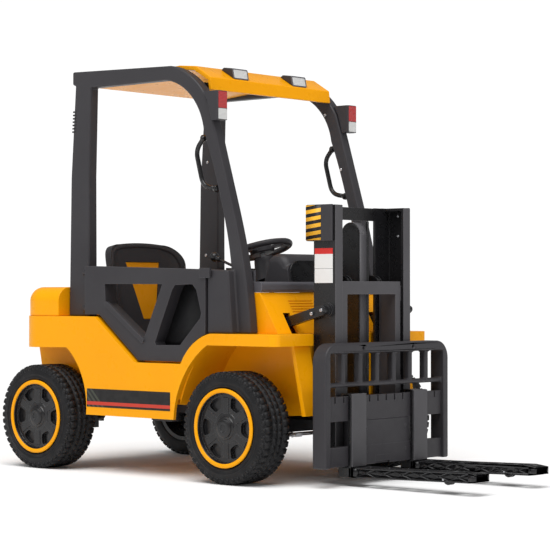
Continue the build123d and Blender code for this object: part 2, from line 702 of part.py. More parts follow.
with BuildPart() as mast_caps:
    blocks_both_sides(726, 800, mast_outer_y + 0.2, 142, 538, 619)
    blocks_both_sides(726, mast_rear_x - 0.2, 112, 142, 538, 619)
write(mast_caps, "mast_caps")

with BuildPart() as mast_plates:
    blocks_both_sides(746, 798, mast_outer_y, mast_outer_y + 0.8, 445, 522)
write(mast_plates, "mast_plates")

with BuildPart() as mast_struts:
    for _, s in sides:
        with BuildSketch(side(s * 143)):
            with Locations(Location((717, 367), math.degrees(math.atan2(36, 134)))):
                SlotCenterToCenter(136, 22)
        extrude(amount=-s * 14)
        cross_rod(785, s * 141, s * 143, 385, 12)
        cross_rod(785, s * 157, s * 161, 385, 8)
        cross_rod(757, s * 157, s * 160, 377, 5)
write(mast_struts, "mast_struts")

with BuildPart() as lift_column:
    with BuildSketch(side(-12.5)):
        with BuildLine():
            Polyline((775, 556), (775, 146), (745, 146), (745, 190), (722, 190), (722, 556))
            ThreePointArc((722, 556), (748.5, 582.5), (775, 556))
        make_face()
    extrude(amount=-25)
    upright_rod(766, 26, 138, 587, 4)
write(lift_column, "lift_column")

with BuildPart() as lift_motor:
    cross_rod(766, -62, 62, 120, 17.5)
    block(752, 780, -20, 20, 102, 138)
write(lift_motor, "lift_motor")

# ---- carriage: inner frame, chain pulleys, load backrest and fork carrier -----------------------------
upright_inner_y = 87.0
upright_outer_y = 105.0
pulley_x = 761.0
pulley_z = 441.0
pulley_radius = 22.0
with BuildPart() as inner_frame:
    blocks_both_sides(752, carriage_front_x, upright_inner_y, upright_outer_y, 50, carriage_top_z)
    block(784, carriage_front_x, -upright_inner_y, upright_inner_y, 420, carriage_top_z)
    block(784, carriage_front_x, -upright_inner_y, upright_inner_y, 60, 96)
    # slides that run inside the mast channels
    for slide_z in (60, 200, 405):
        blocks_both_sides(751, 797, upright_outer_y, 127, slide_z, slide_z + 34)
    # ears for the pulleys
    for _, s in sides:
        for ear_y in (43, 62.5):
            block(pulley_x - 8, 785, s * ear_y, s * (ear_y + 2.5), pulley_z - 9, pulley_z + 8)
        cross_rod(pulley_x, s * 42, s * 66, pulley_z, 3 + running_fit, Mode.SUBTRACT)
write(inner_frame, "inner_frame")

for side_name, s in sides:
    with BuildPart() as chain_pulley:
        cross_rod(pulley_x, s * 46.5, s * 61.5, pulley_z, pulley_radius)
        cross_rod(pulley_x, s * 43, s * 65, pulley_z, 3)
        with BuildSketch(across(pulley_x, pulley_z)):
            with Locations((s * 54, pulley_radius)):
                Rectangle(9, 8)
        revolve(axis=Axis(at(pulley_x, 0, pulley_z), (0, 1, 0)), mode=Mode.SUBTRACT)
    write(chain_pulley, f"chain_pulley_{side_name}")

bar_width = 14.0
with BuildPart() as load_backrest:
    with BuildSketch(across(backrest_rear_x)):
        with Locations((0, (backrest_top_z + backrest_bottom_z) / 2)):
            Rectangle(2 * backrest_half, backrest_top_z - backrest_bottom_z)
        with Locations((0, (291 + backrest_bottom_z - 10) / 2)):
            Rectangle(2 * (backrest_half - 19), 291 - backrest_bottom_z + 10, mode=Mode.SUBTRACT)
    extrude(amount=backrest_front_x - backrest_rear_x)
    top_corners = load_backrest.edges().filter_by(Axis.X).group_by(Axis.Z)[-1]
    fillet(top_corners, 40)
    block(824, 842, -(backrest_half - 19), backrest_half - 19, 217, 227)
    for bar_y in (-150, -90, -30, 30, 90, 150):
        block(824, 842, bar_y - bar_width / 2, bar_y + bar_width / 2, 226, 292)
    for hole_y in (-90, 90):
        with Locations(at(831, hole_y, 302)):
            Cylinder(3, 60, rotation=(0, 90, 0), mode=Mode.SUBTRACT)
write(load_backrest, "load_backrest")

carrier_half = backrest_half - 19.0
with BuildPart() as fork_carrier:
    block(824, 842, -carrier_half, carrier_half, 143, 197)
    block(824, 842, -carrier_half, carrier_half, 44, 87)
    block(824, 840, -84, 84, 44, 197)
    blocks_both_sides(carriage_front_x, 824, upright_inner_y, upright_outer_y, 60, 178)
    notch_count = 13
    for notch in range(notch_count):
        notch_y = 30 * (notch - (notch_count - 1) / 2)
        block(820, 845, notch_y - 2.5, notch_y + 2.5, 182, 200, Mode.SUBTRACT)
    block(835, 845, -40, 12, 44, 62, Mode.SUBTRACT)
write(fork_carrier, "fork_carrier")

for side_name, s in sides:
    fork_middle_y = (fork_inner_y + fork_outer_y) / 2
    with BuildPart() as fork:
        # upright shank, hooked over the carrier
        block(843, shank_front_x, s * fork_inner_y, s * fork_outer_y, fork_bottom_z, 203)
        block(815, 860, s * fork_inner_y, s * fork_outer_y, fork_bottom_z, 42)
        block(816, shank_front_x, s * (fork_inner_y + 8), s * (fork_outer_y - 8), 198, 203)
        block(816, 822, s * (fork_inner_y + 8), s * (fork_outer_y - 8), 184, 203)
        # tapering blade
        with BuildSketch(side(s * fork_inner_y)):
            with BuildLine():
                Polyline((850, fork_bottom_z), (850, blade_top_z), (900, blade_top_z),
                         (1150, blade_top_z + 7), (fork_tip_x, 46), (fork_tip_x, 30),
                         (1165, 28), close=True)
            make_face()
        extrude(amount=-s * (fork_outer_y - fork_inner_y))
        with BuildSketch(level(fork_bottom_z - 5)):
            for pocket_x in (895, 947, 999, 1051, 1145):
                with Locations((pocket_x, s * fork_middle_y)):
                    RectangleRounded(40, 24, 4)
        extrude(amount=60, mode=Mode.SUBTRACT)
        # slot and bore for the roller under the blade
        block(fork_roller_x - 14, fork_roller_x + 14, s * (fork_middle_y - 9), s * (fork_middle_y + 9),
              0, 60, Mode.SUBTRACT)
        cross_rod(fork_roller_x, s * (fork_inner_y - 1), s * (fork_outer_y + 1), 31,
                  3 + running_fit, Mode.SUBTRACT)
    write(fork, f"fork_{side_name}")

    with BuildPart() as fork_roller:
        cross_rod(fork_roller_x, s * (fork_middle_y - 8), s * (fork_middle_y + 8), 31, 12)
        cross_rod(fork_roller_x, s * (fork_inner_y + 1), s * (fork_outer_y - 1), 31, 3)
    write(fork_roller, f"fork_roller_{side_name}")
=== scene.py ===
import bpy
import bmesh
import json
import math
from mathutils import Matrix, Vector
from mathutils.geometry import tessellate_polygon


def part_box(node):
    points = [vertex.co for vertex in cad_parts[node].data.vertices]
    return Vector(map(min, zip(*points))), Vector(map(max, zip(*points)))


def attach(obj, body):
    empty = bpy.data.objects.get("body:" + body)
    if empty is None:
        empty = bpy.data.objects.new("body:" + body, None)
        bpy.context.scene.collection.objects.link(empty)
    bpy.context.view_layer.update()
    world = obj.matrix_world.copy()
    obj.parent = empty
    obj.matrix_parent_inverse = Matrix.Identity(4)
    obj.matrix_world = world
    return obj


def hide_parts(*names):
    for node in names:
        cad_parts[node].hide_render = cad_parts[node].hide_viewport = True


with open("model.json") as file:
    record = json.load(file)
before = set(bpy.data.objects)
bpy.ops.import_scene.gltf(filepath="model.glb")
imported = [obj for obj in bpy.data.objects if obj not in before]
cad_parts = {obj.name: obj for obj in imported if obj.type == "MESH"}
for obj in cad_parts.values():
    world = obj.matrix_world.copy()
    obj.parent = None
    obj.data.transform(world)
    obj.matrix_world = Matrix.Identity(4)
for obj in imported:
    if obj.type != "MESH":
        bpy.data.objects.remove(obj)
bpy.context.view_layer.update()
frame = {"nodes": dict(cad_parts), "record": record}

# Distances below are millimetres ahead of the rear axle (x), to the driver's left (y)
# and above the floor (z), as in the CAD source. at() turns them into scene metres.
MM = 0.001
TINY = 1e-6
TRUCK = "truck"
SIDES = (("right", -1), ("left", 1))
axle_low, axle_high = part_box("rear_axle")
REAR_AXLE_X = (axle_low.x + axle_high.x) / 2
AXLE_Z = (axle_low.z + axle_high.z) / 2
pin_low, pin_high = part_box("front_axle_beam")
FRONT_AXLE_X = (pin_low.x + pin_high.x) / 2


def at(x, y, z):
    """Scene point for millimetres from the rear axle, the middle and the floor."""
    return Vector((REAR_AXLE_X + x * MM, y * MM, z * MM))


# ---- mesh helpers ----------------------------------------------------------------------
WELD_REACH = 0.01       # mm: points of a mesh closer than this are merged
FLAT_BEND = 0.4         # degrees: faces that bend less than this become one
SHARP_BEND = 32.0       # degrees: edges that bend more than this are rounded


def soften(piece, width, segments=2, clamp=True):
    """Rounds the sharp edges of a piece or CAD node with modifiers, and evens its shading."""
    for polygon in piece.data.polygons:
        polygon.use_smooth = True
    weld = piece.modifiers.new("weld", "WELD")
    weld.merge_threshold = WELD_REACH * MM
    flat = piece.modifiers.new("flat faces", "DECIMATE")
    flat.decimate_type = "DISSOLVE"
    flat.angle_limit = math.radians(FLAT_BEND)
    round_edges = piece.modifiers.new("round edges", "BEVEL")
    round_edges.width = width * MM
    round_edges.segments = segments
    round_edges.limit_method = "ANGLE"
    round_edges.angle_limit = math.radians(SHARP_BEND)
    round_edges.use_clamp_overlap = clamp
    normals = piece.modifiers.new("even normals", "WEIGHTED_NORMAL")
    normals.weight = 60
    normals.keep_sharp = False
    return piece


def finish_mesh(name, bm):
    """Mesh data made from bm, with its faces turned outwards."""
    bmesh.ops.recalc_face_normals(bm, faces=bm.faces[:])
    mesh = bpy.data.meshes.new(name)
    bm.to_mesh(mesh)
    bm.free()
    for polygon in mesh.polygons:
        polygon.use_smooth = True
    return mesh


def add_piece(name, mesh, material, body, place=None, soft=0.0, segments=2, stands_for=()):
    """Shows a mesh as a piece that rides on a CAD body, with edges rounded by soft mm.

    stands_for names the CAD nodes that it is shown in place of.
    """
    if isinstance(mesh, bmesh.types.BMesh):
        mesh = finish_mesh(name, mesh)
    piece = bpy.data.objects.new(name, mesh)
    bpy.context.scene.collection.objects.link(piece)
    if not mesh.materials:
        mesh.materials.append(material)
    if place is not None:
        piece.matrix_world = place
    if soft:
        soften(piece, soft, segments)
    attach(piece, body)
    if stands_for:
        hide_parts(*stands_for)
    return piece


HEXAHEDRON_FACES = ((0, 1, 2, 3), (7, 6, 5, 4), (0, 4, 5, 1), (1, 5, 6, 2), (2, 6, 7, 3), (3, 7, 4, 0))


def hexahedron(bm, corners):
    """Solid with eight corners: four of one end, then the four that face them."""
    verts = [bm.verts.new(corner) for corner in corners]
    for face in HEXAHEDRON_FACES:
        bm.faces.new([verts[i] for i in face])


def block(bm, x1, x2, y1, y2, z1, z2):
    """Box between two values of each CAD distance."""
    hexahedron(bm, [at(x1, y1, z1), at(x2, y1, z1), at(x2, y2, z1), at(x1, y2, z1),
                    at(x1, y1, z2), at(x2, y1, z2), at(x2, y2, z2), at(x1, y2, z2)])


def lathe(bm, profile, place, steps=64, closed=True):
    """Turns (along, radius) millimetre points round the local Z axis of place."""
    rings = []
    for along, radius in profile:
        if radius < TINY:
            rings.append([bm.verts.new(place @ Vector((0, 0, along * MM)))] * steps)
            continue
        ring = []
        for step in range(steps):
            turn = math.tau * step / steps
            ring.append(bm.verts.new(place @ Vector((radius * MM * math.cos(turn),
                                                     radius * MM * math.sin(turn), along * MM))))
        rings.append(ring)
    pairs = list(zip(rings, rings[1:] + rings[:1])) if closed else list(zip(rings, rings[1:]))
    for ring, following in pairs:
        for step in range(steps):
            ahead = (step + 1) % steps
            corners = [ring[step], ring[ahead], following[ahead], following[step]]
            corners = [c for i, c in enumerate(corners) if c not in corners[:i]]
            if len(corners) > 2:
                bm.faces.new(corners)


def facing(origin, direction):
    """Placement at origin whose local Z axis points along direction."""
    turn = Vector(direction).to_track_quat("Z", "Y").to_matrix().to_4x4()
    return Matrix.Translation(origin) @ turn


LONGEST_CUT = 0.45      # share of a side that the rounding of one corner may take


def rounded(points, radius, steps=6, closed=True):
    """The same outline with its corners rounded."""
    points = [Vector(p) for p in points]
    made = []
    for i, corner in enumerate(points):
        if not closed and i in (0, len(points) - 1):
            made.append(corner)
            continue
        before, after = points[i - 1], points[(i + 1) % len(points)]
        back, ahead = before - corner, after - corner
        reach = min(radius, LONGEST_CUT * back.length, LONGEST_CUT * ahead.length)
        start = corner + back.normalized() * reach
        end = corner + ahead.normalized() * reach
        for step in range(steps + 1):
            t = step / steps
            made.append(start * (1 - t) ** 2 + corner * (2 * t * (1 - t)) + end * t ** 2)
    return made


def plate(bm, outline, holes, low, high, place):
    """Flat solid with holes, from height low to height high.

    place(u, v, height) gives the scene point. low and high are numbers or functions of u.
    """
    loops = [[Vector((p[0], p[1], 0)) for p in loop] for loop in (outline, *holes)]
    points = [p for loop in loops for p in loop]
    below, above = [], []
    for p in points:
        low_here = low(p.x) if callable(low) else low
        high_here = high(p.x) if callable(high) else high
        below.append(bm.verts.new(place(p.x, p.y, low_here)))
        above.append(bm.verts.new(place(p.x, p.y, high_here)))
    for a, b, c in tessellate_polygon(loops):
        bm.faces.new((above[a], above[b], above[c]))
        bm.faces.new((below[c], below[b], below[a]))
    start = 0
    for loop in loops:
        count = len(loop)
        for i in range(count):
            a, b = start + i, start + (i + 1) % count
            bm.faces.new((below[a], below[b], above[b], above[a]))
        start += count


def tube(bm, points, radius, steps=14, closed=False):
    """Round tube through scene points. radius is one number or one for each point, in mm."""
    count = len(points)
    radii = radius if hasattr(radius, "__len__") else [radius] * count
    rings = []
    normal = None
    for i, point in enumerate(points):
        before = points[i - 1] if closed or i else points[i]
        after = points[(i + 1) % count] if closed or i < count - 1 else points[i]
        along = (after - before).normalized()
        if normal is None:
            normal = along.orthogonal().normalized()
        normal = (normal - along * normal.dot(along)).normalized()
        across = along.cross(normal)
        ring = []
        for step in range(steps):
            turn = math.tau * step / steps
            offset = normal * math.cos(turn) + across * math.sin(turn)
            ring.append(bm.verts.new(point + offset * radii[i] * MM))
        rings.append(ring)
    following = rings[1:] + rings[:1] if closed else rings[1:]
    for ring, ahead in zip(rings, following):
        for step in range(steps):
            beside = (step + 1) % steps
            bm.faces.new((ring[step], ring[beside], ahead[beside], ahead[step]))
    if not closed:
        bm.faces.new(rings[0][::-1])
        bm.faces.new(rings[-1])


# ---- material helpers --------------------------------------------------------------------
def node(tree, kind, **values):
    """New shader node. Names of input sockets set their values, other names set attributes."""
    made = tree.nodes.new(kind)
    for name, value in values.items():
        socket = name.replace("_", " ")
        if socket in made.inputs:
            made.inputs[socket].default_value = value
        else:
            setattr(made, name, value)
    return made


def new_material(name):
    """Material with a Principled shader, and its object coordinates."""
    material = bpy.data.materials.new(name)
    material.use_nodes = True
    tree = material.node_tree
    shader = tree.nodes["Principled BSDF"]
    coordinates = tree.nodes.new("ShaderNodeTexCoord").outputs["Object"]
    return material, tree, shader, coordinates


def noise(tree, coordinates, scale, detail=3.0):
    """Cloudy value around 0.5. A larger scale makes it finer."""
    made = node(tree, "ShaderNodeTexNoise", Scale=scale, Detail=detail)
    tree.links.new(coordinates, made.inputs["Vector"])
    return made.outputs["Fac"]


def remap(tree, value, low, high, to_low, to_high):
    """Value with the range low to high stretched over to_low to to_high."""
    made = node(tree, "ShaderNodeMapRange", From_Min=low, From_Max=high,
                To_Min=to_low, To_Max=to_high)
    tree.links.new(value, made.inputs["Value"])
    return made.outputs["Result"]


def mix(tree, factor, first, second):
    """Colour between first and second. Each is a colour or an output."""
    made = tree.nodes.new("ShaderNodeMixRGB")
    tree.links.new(factor, made.inputs["Fac"])
    for socket, value in (("Color1", first), ("Color2", second)):
        if isinstance(value, tuple):
            made.inputs[socket].default_value = (*value, 1)
        else:
            tree.links.new(value, made.inputs[socket])
    return made.outputs["Color"]


def calculate(tree, operation, first, second=0.0):
    """Result of a Math node. Each operand is a number or an output."""
    made = tree.nodes.new("ShaderNodeMath")
    made.operation = operation
    for socket, value in zip(made.inputs, (first, second)):
        if isinstance(value, (int, float)):
            socket.default_value = value
        else:
            tree.links.new(value, socket)
    return made.outputs["Value"]


def near_edges(tree, reach):
    """1 within reach mm of sharp edges and 0 elsewhere."""
    soft_normal = node(tree, "ShaderNodeBevel", Radius=reach * MM, samples=4)
    normal = tree.nodes.new("ShaderNodeNewGeometry")
    compare = node(tree, "ShaderNodeVectorMath", operation="DOT_PRODUCT")
    tree.links.new(soft_normal.outputs["Normal"], compare.inputs[0])
    tree.links.new(normal.outputs["Normal"], compare.inputs[1])
    return remap(tree, compare.outputs["Value"], 0.995, 0.86, 0.0, 1.0)


def bump(tree, shader, heights):
    """Adds bumps to a shader: pairs of a 0 to 1 height and the depth of that texture in mm."""
    normal = None
    for height, depth in heights:
        made = node(tree, "ShaderNodeBump", Strength=1.0, Distance=depth * MM)
        tree.links.new(height, made.inputs["Height"])
        if normal is not None:
            tree.links.new(normal, made.inputs["Normal"])
        normal = made.outputs["Normal"]
    tree.links.new(normal, shader.inputs["Normal"])


def plastic(name, colour, shade, edge, roughness, grain_scale, grain_depth, gloss=0.3):
    """Moulded plastic: cloudy tint, edges painted lighter as highlight, scuffed gloss and a fine
    moulded grain.
    """
    material, tree, shader, coordinates = new_material(name)
    shader.inputs["Specular IOR Level"].default_value = gloss
    cloud = remap(tree, noise(tree, coordinates, 5.0), 0.35, 0.65, 0.0, 1.0)
    # painted highlight: colour near sharp edges is mixed towards the lighter edge colour
    edge_highlight = calculate(tree, "MULTIPLY", near_edges(tree, 2.2), 0.75)
    tint = mix(tree, edge_highlight, mix(tree, cloud, colour, shade), edge)
    tree.links.new(tint, shader.inputs["Base Color"])
    scuffs = noise(tree, coordinates, 45.0, 6.0)
    tree.links.new(remap(tree, scuffs, 0.3, 0.7, roughness - 0.05, roughness + 0.07),
                   shader.inputs["Roughness"])
    bump(tree, shader, ((noise(tree, coordinates, 14.0, 1.0), 0.05),
                        (noise(tree, coordinates, grain_scale, 2.0), grain_depth)))
    return material


def tyre_plastic():
    """Black tread plastic with dust in it, a coarse half-matt grain, and edges painted lighter as
    highlight.
    """
    material, tree, shader, coordinates = new_material("tyre")
    shader.inputs["Specular IOR Level"].default_value = 0.22
    dust = remap(tree, noise(tree, coordinates, 28.0, 5.0), 0.45, 0.75, 0.0, 1.0)
    tint = mix(tree, dust, (0.008, 0.008, 0.009), (0.020, 0.019, 0.020))
    # painted highlight: colour near sharp edges is mixed towards a lighter grey
    edge_highlight = calculate(tree, "MULTIPLY", near_edges(tree, 1.6), 0.6)
    tint = mix(tree, edge_highlight, tint, (0.075, 0.075, 0.08))
    tree.links.new(tint, shader.inputs["Base Color"])
    tree.links.new(remap(tree, noise(tree, coordinates, 60.0), 0.3, 0.7, 0.42, 0.62),
                   shader.inputs["Roughness"])
    bump(tree, shader, ((noise(tree, coordinates, 900.0), 0.08),))
    return material


def steel(name, colour, roughness):
    """Plated steel with fine brushing."""
    material, tree, shader, coordinates = new_material(name)
    shader.inputs["Metallic"].default_value = 1.0
    stretch = node(tree, "ShaderNodeMapping", Scale=(40.0, 900.0, 900.0))
    tree.links.new(coordinates, stretch.inputs["Vector"])
    brushed = noise(tree, stretch.outputs["Vector"], 1.0, 4.0)
    tarnish = remap(tree, noise(tree, coordinates, 30.0), 0.3, 0.7, 0.0, 1.0)
    darker = tuple(0.7 * c for c in colour)
    tree.links.new(mix(tree, tarnish, colour, darker), shader.inputs["Base Color"])
    tree.links.new(remap(tree, brushed, 0.2, 0.8, roughness - 0.1, roughness + 0.12),
                   shader.inputs["Roughness"])
    bump(tree, shader, ((brushed, 0.03),))
    return material


def lens(name, colour, shade, rib):
    """Lamp lens: glossy clear-coated plastic over moulded ribs, rib mm apart."""
    material, tree, shader, coordinates = new_material(name)
    shader.inputs["Coat Weight"].default_value = 0.9
    shader.inputs["Coat Roughness"].default_value = 0.06
    shader.inputs["IOR"].default_value = 1.5
    split = tree.nodes.new("ShaderNodeSeparateXYZ")
    tree.links.new(coordinates, split.inputs["Vector"])
    waves = []
    for axis in ("Y", "Z"):
        turned = calculate(tree, "MULTIPLY", split.outputs[axis], math.tau / (rib * MM))
        waves.append(calculate(tree, "SINE", turned))
    height = remap(tree, calculate(tree, "ADD", *waves), -2.0, 2.0, 0.0, 1.0)
    tree.links.new(mix(tree, height, shade, colour), shader.inputs["Base Color"])
    tree.links.new(remap(tree, noise(tree, coordinates, 120.0), 0.3, 0.7, 0.12, 0.25),
                   shader.inputs["Roughness"])
    bump(tree, shader, ((height, 0.7),))
    return material


def printed_film(name, pattern):
    """Glossy printed film. pattern(tree, x, y, z) gives its colour, with x, y, z in metres."""
    material, tree, shader, coordinates = new_material(name)
    shader.inputs["Specular IOR Level"].default_value = 0.25
    split = tree.nodes.new("ShaderNodeSeparateXYZ")
    tree.links.new(coordinates, split.inputs["Vector"])
    printed = pattern(tree, split.outputs["X"], split.outputs["Y"], split.outputs["Z"])
    fade = remap(tree, noise(tree, coordinates, 70.0, 5.0), 0.35, 0.8, 0.0, 0.04)
    tree.links.new(mix(tree, fade, printed, (0.32, 0.31, 0.3)), shader.inputs["Base Color"])
    tree.links.new(remap(tree, noise(tree, coordinates, 90.0), 0.3, 0.7, 0.3, 0.45),
                   shader.inputs["Roughness"])
    bump(tree, shader, ((noise(tree, coordinates, 400.0), 0.03),))
    return material


def hazard_pattern(tree, x, y, z):
    """Slanting yellow and black stripes."""
    pitch = 16.4 * MM
    yellow_share = 0.52
    slope = calculate(tree, "MULTIPLY", x, 0.12)
    along = calculate(tree, "DIVIDE", calculate(tree, "SUBTRACT", z, slope), pitch)
    dark = calculate(tree, "GREATER_THAN", calculate(tree, "FRACT", along), yellow_share)
    return mix(tree, dark, (0.93, 0.47, 0.03), (0.016, 0.015, 0.016))


def plate_pattern(tree, x, y, z):
    """White plate with a red band along its top and a thin line across its middle."""
    low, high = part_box("mast_plates")
    band_height = 13 * MM
    line_height = 32 * MM
    half_line = 0.5 * MM
    band = calculate(tree, "GREATER_THAN", z, high.z - band_height)
    from_line = calculate(tree, "ABSOLUTE", calculate(tree, "SUBTRACT", z, low.z + line_height))
    line = calculate(tree, "LESS_THAN", from_line, half_line)
    printed = mix(tree, line, (0.8, 0.8, 0.79), (0.3, 0.3, 0.3))
    return mix(tree, band, printed, (0.62, 0.025, 0.02))


def sill_pattern(tree, x, y, z):
    """Black strip with a red stripe low down and dim slanting bars at its rear end."""
    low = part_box("sill_decals")[0]
    stripe_bottom, stripe_top = 5 * MM, 13 * MM
    bar_pitch = 15 * MM
    bars_end = 62 * MM
    above = calculate(tree, "SUBTRACT", z, low.z)
    stripe = calculate(tree, "MULTIPLY", calculate(tree, "GREATER_THAN", above, stripe_bottom),
                       calculate(tree, "LESS_THAN", above, stripe_top))
    slanted = calculate(tree, "ADD", calculate(tree, "SUBTRACT", x, low.x), above)
    along_bars = calculate(tree, "FRACT", calculate(tree, "DIVIDE", slanted, bar_pitch))
    bars = calculate(tree, "GREATER_THAN", along_bars, 0.5)
    rear_end = calculate(tree, "LESS_THAN", slanted, bars_end)
    dim = calculate(tree, "MULTIPLY", bars, rear_end)
    printed = mix(tree, dim, (0.012, 0.011, 0.011), (0.055, 0.06, 0.045))
    return mix(tree, stripe, printed, (0.55, 0.045, 0.025))


# edge= is the colour of the painted highlight along sharp edges
YELLOW = plastic("yellow", (0.93, 0.385, 0.002), shade=(0.90, 0.360, 0.002), edge=(0.97, 0.46, 0.02),
                 roughness=0.30, grain_scale=700.0, grain_depth=0.02, gloss=0.14)
# charcoal painted lighter, as light falling on the faces that look forward
FRONT_LIT_CHARCOAL = plastic("front_lit_charcoal", (0.075, 0.072, 0.078), shade=(0.062, 0.060, 0.065), edge=(0.16, 0.155, 0.165),
                roughness=0.42, grain_scale=850.0, grain_depth=0.04)
CHARCOAL = plastic("charcoal", (0.040, 0.038, 0.042), shade=(0.033, 0.031, 0.035),
                   edge=(0.095, 0.092, 0.10), roughness=0.46, grain_scale=850.0, grain_depth=0.05)
GREY = plastic("grey", (0.10, 0.098, 0.11), shade=(0.085, 0.083, 0.094), edge=(0.18, 0.18, 0.2),
               roughness=0.45, grain_scale=850.0, grain_depth=0.05)
BLACK = plastic("black", (0.011, 0.010, 0.011), shade=(0.008, 0.008, 0.009), edge=(0.06, 0.06, 0.065),
                roughness=0.28, grain_scale=600.0, grain_depth=0.02, gloss=0.45)
MATT = plastic("matt_black", (0.013, 0.012, 0.013), shade=(0.010, 0.010, 0.011),
               edge=(0.06, 0.06, 0.065), roughness=0.55, grain_scale=600.0, grain_depth=0.03, gloss=0.2)
TYRE = tyre_plastic()
ZINC = steel("zinc", (0.62, 0.63, 0.66), roughness=0.32)
BLACK_STEEL = steel("black_steel", (0.045, 0.045, 0.048), roughness=0.42)
RED_LENS = lens("red_lens", (0.62, 0.018, 0.02), shade=(0.30, 0.006, 0.008), rib=3.2)
CLEAR_LENS = lens("clear_lens", (0.86, 0.86, 0.84), shade=(0.50, 0.50, 0.50), rib=3.0)
BATTERY = plastic("battery", (0.03, 0.03, 0.034), shade=(0.022, 0.022, 0.025),
                  edge=(0.08, 0.08, 0.085), roughness=0.5, grain_scale=400.0, grain_depth=0.06)
HAZARD = printed_film("hazard_film", hazard_pattern)
PLATE = printed_film("plate_film", plate_pattern)
SILL = printed_film("sill_film", sill_pattern)

# inner_frame is given the charcoal painted lighter as light from the front
FINISH_OF_NODE = {"sill_decals": SILL, "inner_frame": FRONT_LIT_CHARCOAL}
FINISH_OF_SLOT = {
    "yellow_plastic": YELLOW,
    "charcoal_plastic": CHARCOAL,
    "grey_plastic": GREY,
    "black_plastic": BLACK,
    "tyre_plastic": TYRE,
    "zinc_steel": ZINC,
    "black_steel": BLACK_STEEL,
    "lamp_lens": RED_LENS,
    "lamp_clear": CLEAR_LENS,
    "battery_case": BATTERY,
    "label_film": PLATE,
}
# Nodes whose roundings are wider than their shortest edges would allow
UNCLAMPED = ("cab_side_right", "cab_side_left", "load_backrest")
# Width of the edge rounding of the CAD nodes, in mm
SMALL_PART_ROUNDING = 0.3
EDGE_ROUNDING = {
    "body_shell": 2.6, "rear_cover": 2.0, "front_bulkhead": 0.7, "dash_shelf": 1.5, "dash_cowl": 3.0,
    "cab_side_right": 4.5, "cab_side_left": 4.5, "door_right": 3.0, "door_left": 3.0,
    "roof_panel": 1.6, "seat_base": 6.0, "seat_back": 4.0, "seat_back_inlay": 2.0,
    "outer_mast": 1.0, "mast_caps": 1.6, "mast_struts": 3.0, "lift_column": 3.5, "inner_frame": 1.2,
    "load_backrest": 4.5, "fork_carrier": 1.0, "side_lamp_housings": 2.0, "control_box": 2.0,
    "battery": 2.0, "drive_gearboxes": 2.5, "lift_motor": 1.5, "column_housing": 1.5,
    "chassis_frame": 1.5, "front_axle_beam": 1.5, "accelerator_pedal": 1.2,
}


def finish_cad_nodes():
    """Gives every CAD node the finish of its slot and rounds its edges."""
    for subpart in frame["record"]["subparts"]:
        name = subpart["node"]
        cad_node = frame["nodes"][name]
        finish = FINISH_OF_NODE.get(name, FINISH_OF_SLOT[subpart["material_slot"]])
        cad_node.data.materials.clear()
        cad_node.data.materials.append(finish)
        width = EDGE_ROUNDING.get(name, SMALL_PART_ROUNDING)
        segments = 4 if width >= 5 else 3 if width >= 2.5 else 2
        soften(cad_node, width, segments, clamp=name not in UNCLAMPED)


# ---- wheels --------------------------------------------------------------------------------
# A wheel's profiles are (out, radius): mm along the axle from the middle of the truck, and mm
# from the axle.
OUTWARD = Matrix.Rotation(math.radians(-90), 4, "X")    # lathe axis Z laid along the axle
TREAD_PITCHES = 46
TYRE_PROFILE = (
    (214, 88), (211, 92), (210, 98), (210, 107), (212.4, 114), (219, 121), (236, 122.2), (236.4, 118.6),
    (239.6, 118.6), (240, 122.6), (252, 122.8), (252.4, 118.8), (255.6, 118.8), (256, 122.8),
    (268, 122.6), (268.4, 118.6), (271.6, 118.6), (272, 122.2), (288, 121.4), (292.4, 119.2),
    (295, 115.4), (296.6, 109), (297.0, 103), (297.9, 102.6), (297.9, 100.8), (296.9, 100.3),
    (296.6, 94.6), (297.6, 94.0), (297.6, 92.4), (296.2, 91.6), (295.6, 88),
)
# Rows of tread blocks: inner edge, outer edge, radius at the foot and radius at the top
OUTER_EDGE_ROW = (273, 292, 118, 124.7)
INNER_EDGE_ROW = (216, 235, 118, 124.7)
OUTER_MIDDLE_ROW = (256.6, 267.4, 119, 125)
INNER_MIDDLE_ROW = (240.6, 251.4, 119, 125)
LUG_HALF = 3.35         # degrees
LUG_SKEW = 1.2          # degrees


def polar(radius, turn, out):
    """Point on a wheel: radius and out in mm, turn in degrees."""
    angle = math.radians(turn)
    return Vector((radius * MM * math.cos(angle), out * MM, radius * MM * math.sin(angle)))


def lug(bm, row, turn1, turn2):
    """Tread block of a row, turned from turn1 at its inner edge to turn2 at its outer edge."""
    out1, out2, foot, top = row
    corners = []
    for radius, share, inset in ((foot, 1.0, 0.0), (top, 0.82, 0.8)):
        half = LUG_HALF * share
        for out, turn, sign in ((out1 + inset, turn1, -1), (out2 - inset, turn2, -1),
                                (out2 - inset, turn2, 1), (out1 + inset, turn1, 1)):
            corners.append(polar(radius, turn + sign * half, out))
    hexahedron(bm, corners)


def side_lug(bm, turn):
    """Raised tooth on the tyre's outer shoulder."""
    half, low_radius, high_radius = 2.6, 112, 120.5
    corners = []
    for out, share in ((291.0, 1.0), (296.6, 0.75)):
        for radius, sign in ((low_radius, -1), (high_radius, -1), (high_radius, 1), (low_radius, 1)):
            corners.append(polar(radius, turn + sign * half * share, out))
    hexahedron(bm, corners)


def make_tyre():
    """Tyre with sidewall beads, four rows of tread blocks and a row of shoulder teeth."""
    bm = bmesh.new()
    lathe(bm, TYRE_PROFILE, OUTWARD, 108)
    pitch = 360 / TREAD_PITCHES
    for count in range(TREAD_PITCHES):
        turn = count * pitch
        between = turn + pitch / 2
        lug(bm, OUTER_EDGE_ROW, turn - LUG_SKEW, turn)
        lug(bm, INNER_EDGE_ROW, turn, turn + LUG_SKEW)
        lug(bm, OUTER_MIDDLE_ROW, between + LUG_SKEW, between)
        lug(bm, INNER_MIDDLE_ROW, between, between + LUG_SKEW)
        side_lug(bm, turn)
    return finish_mesh("tyre", bm)


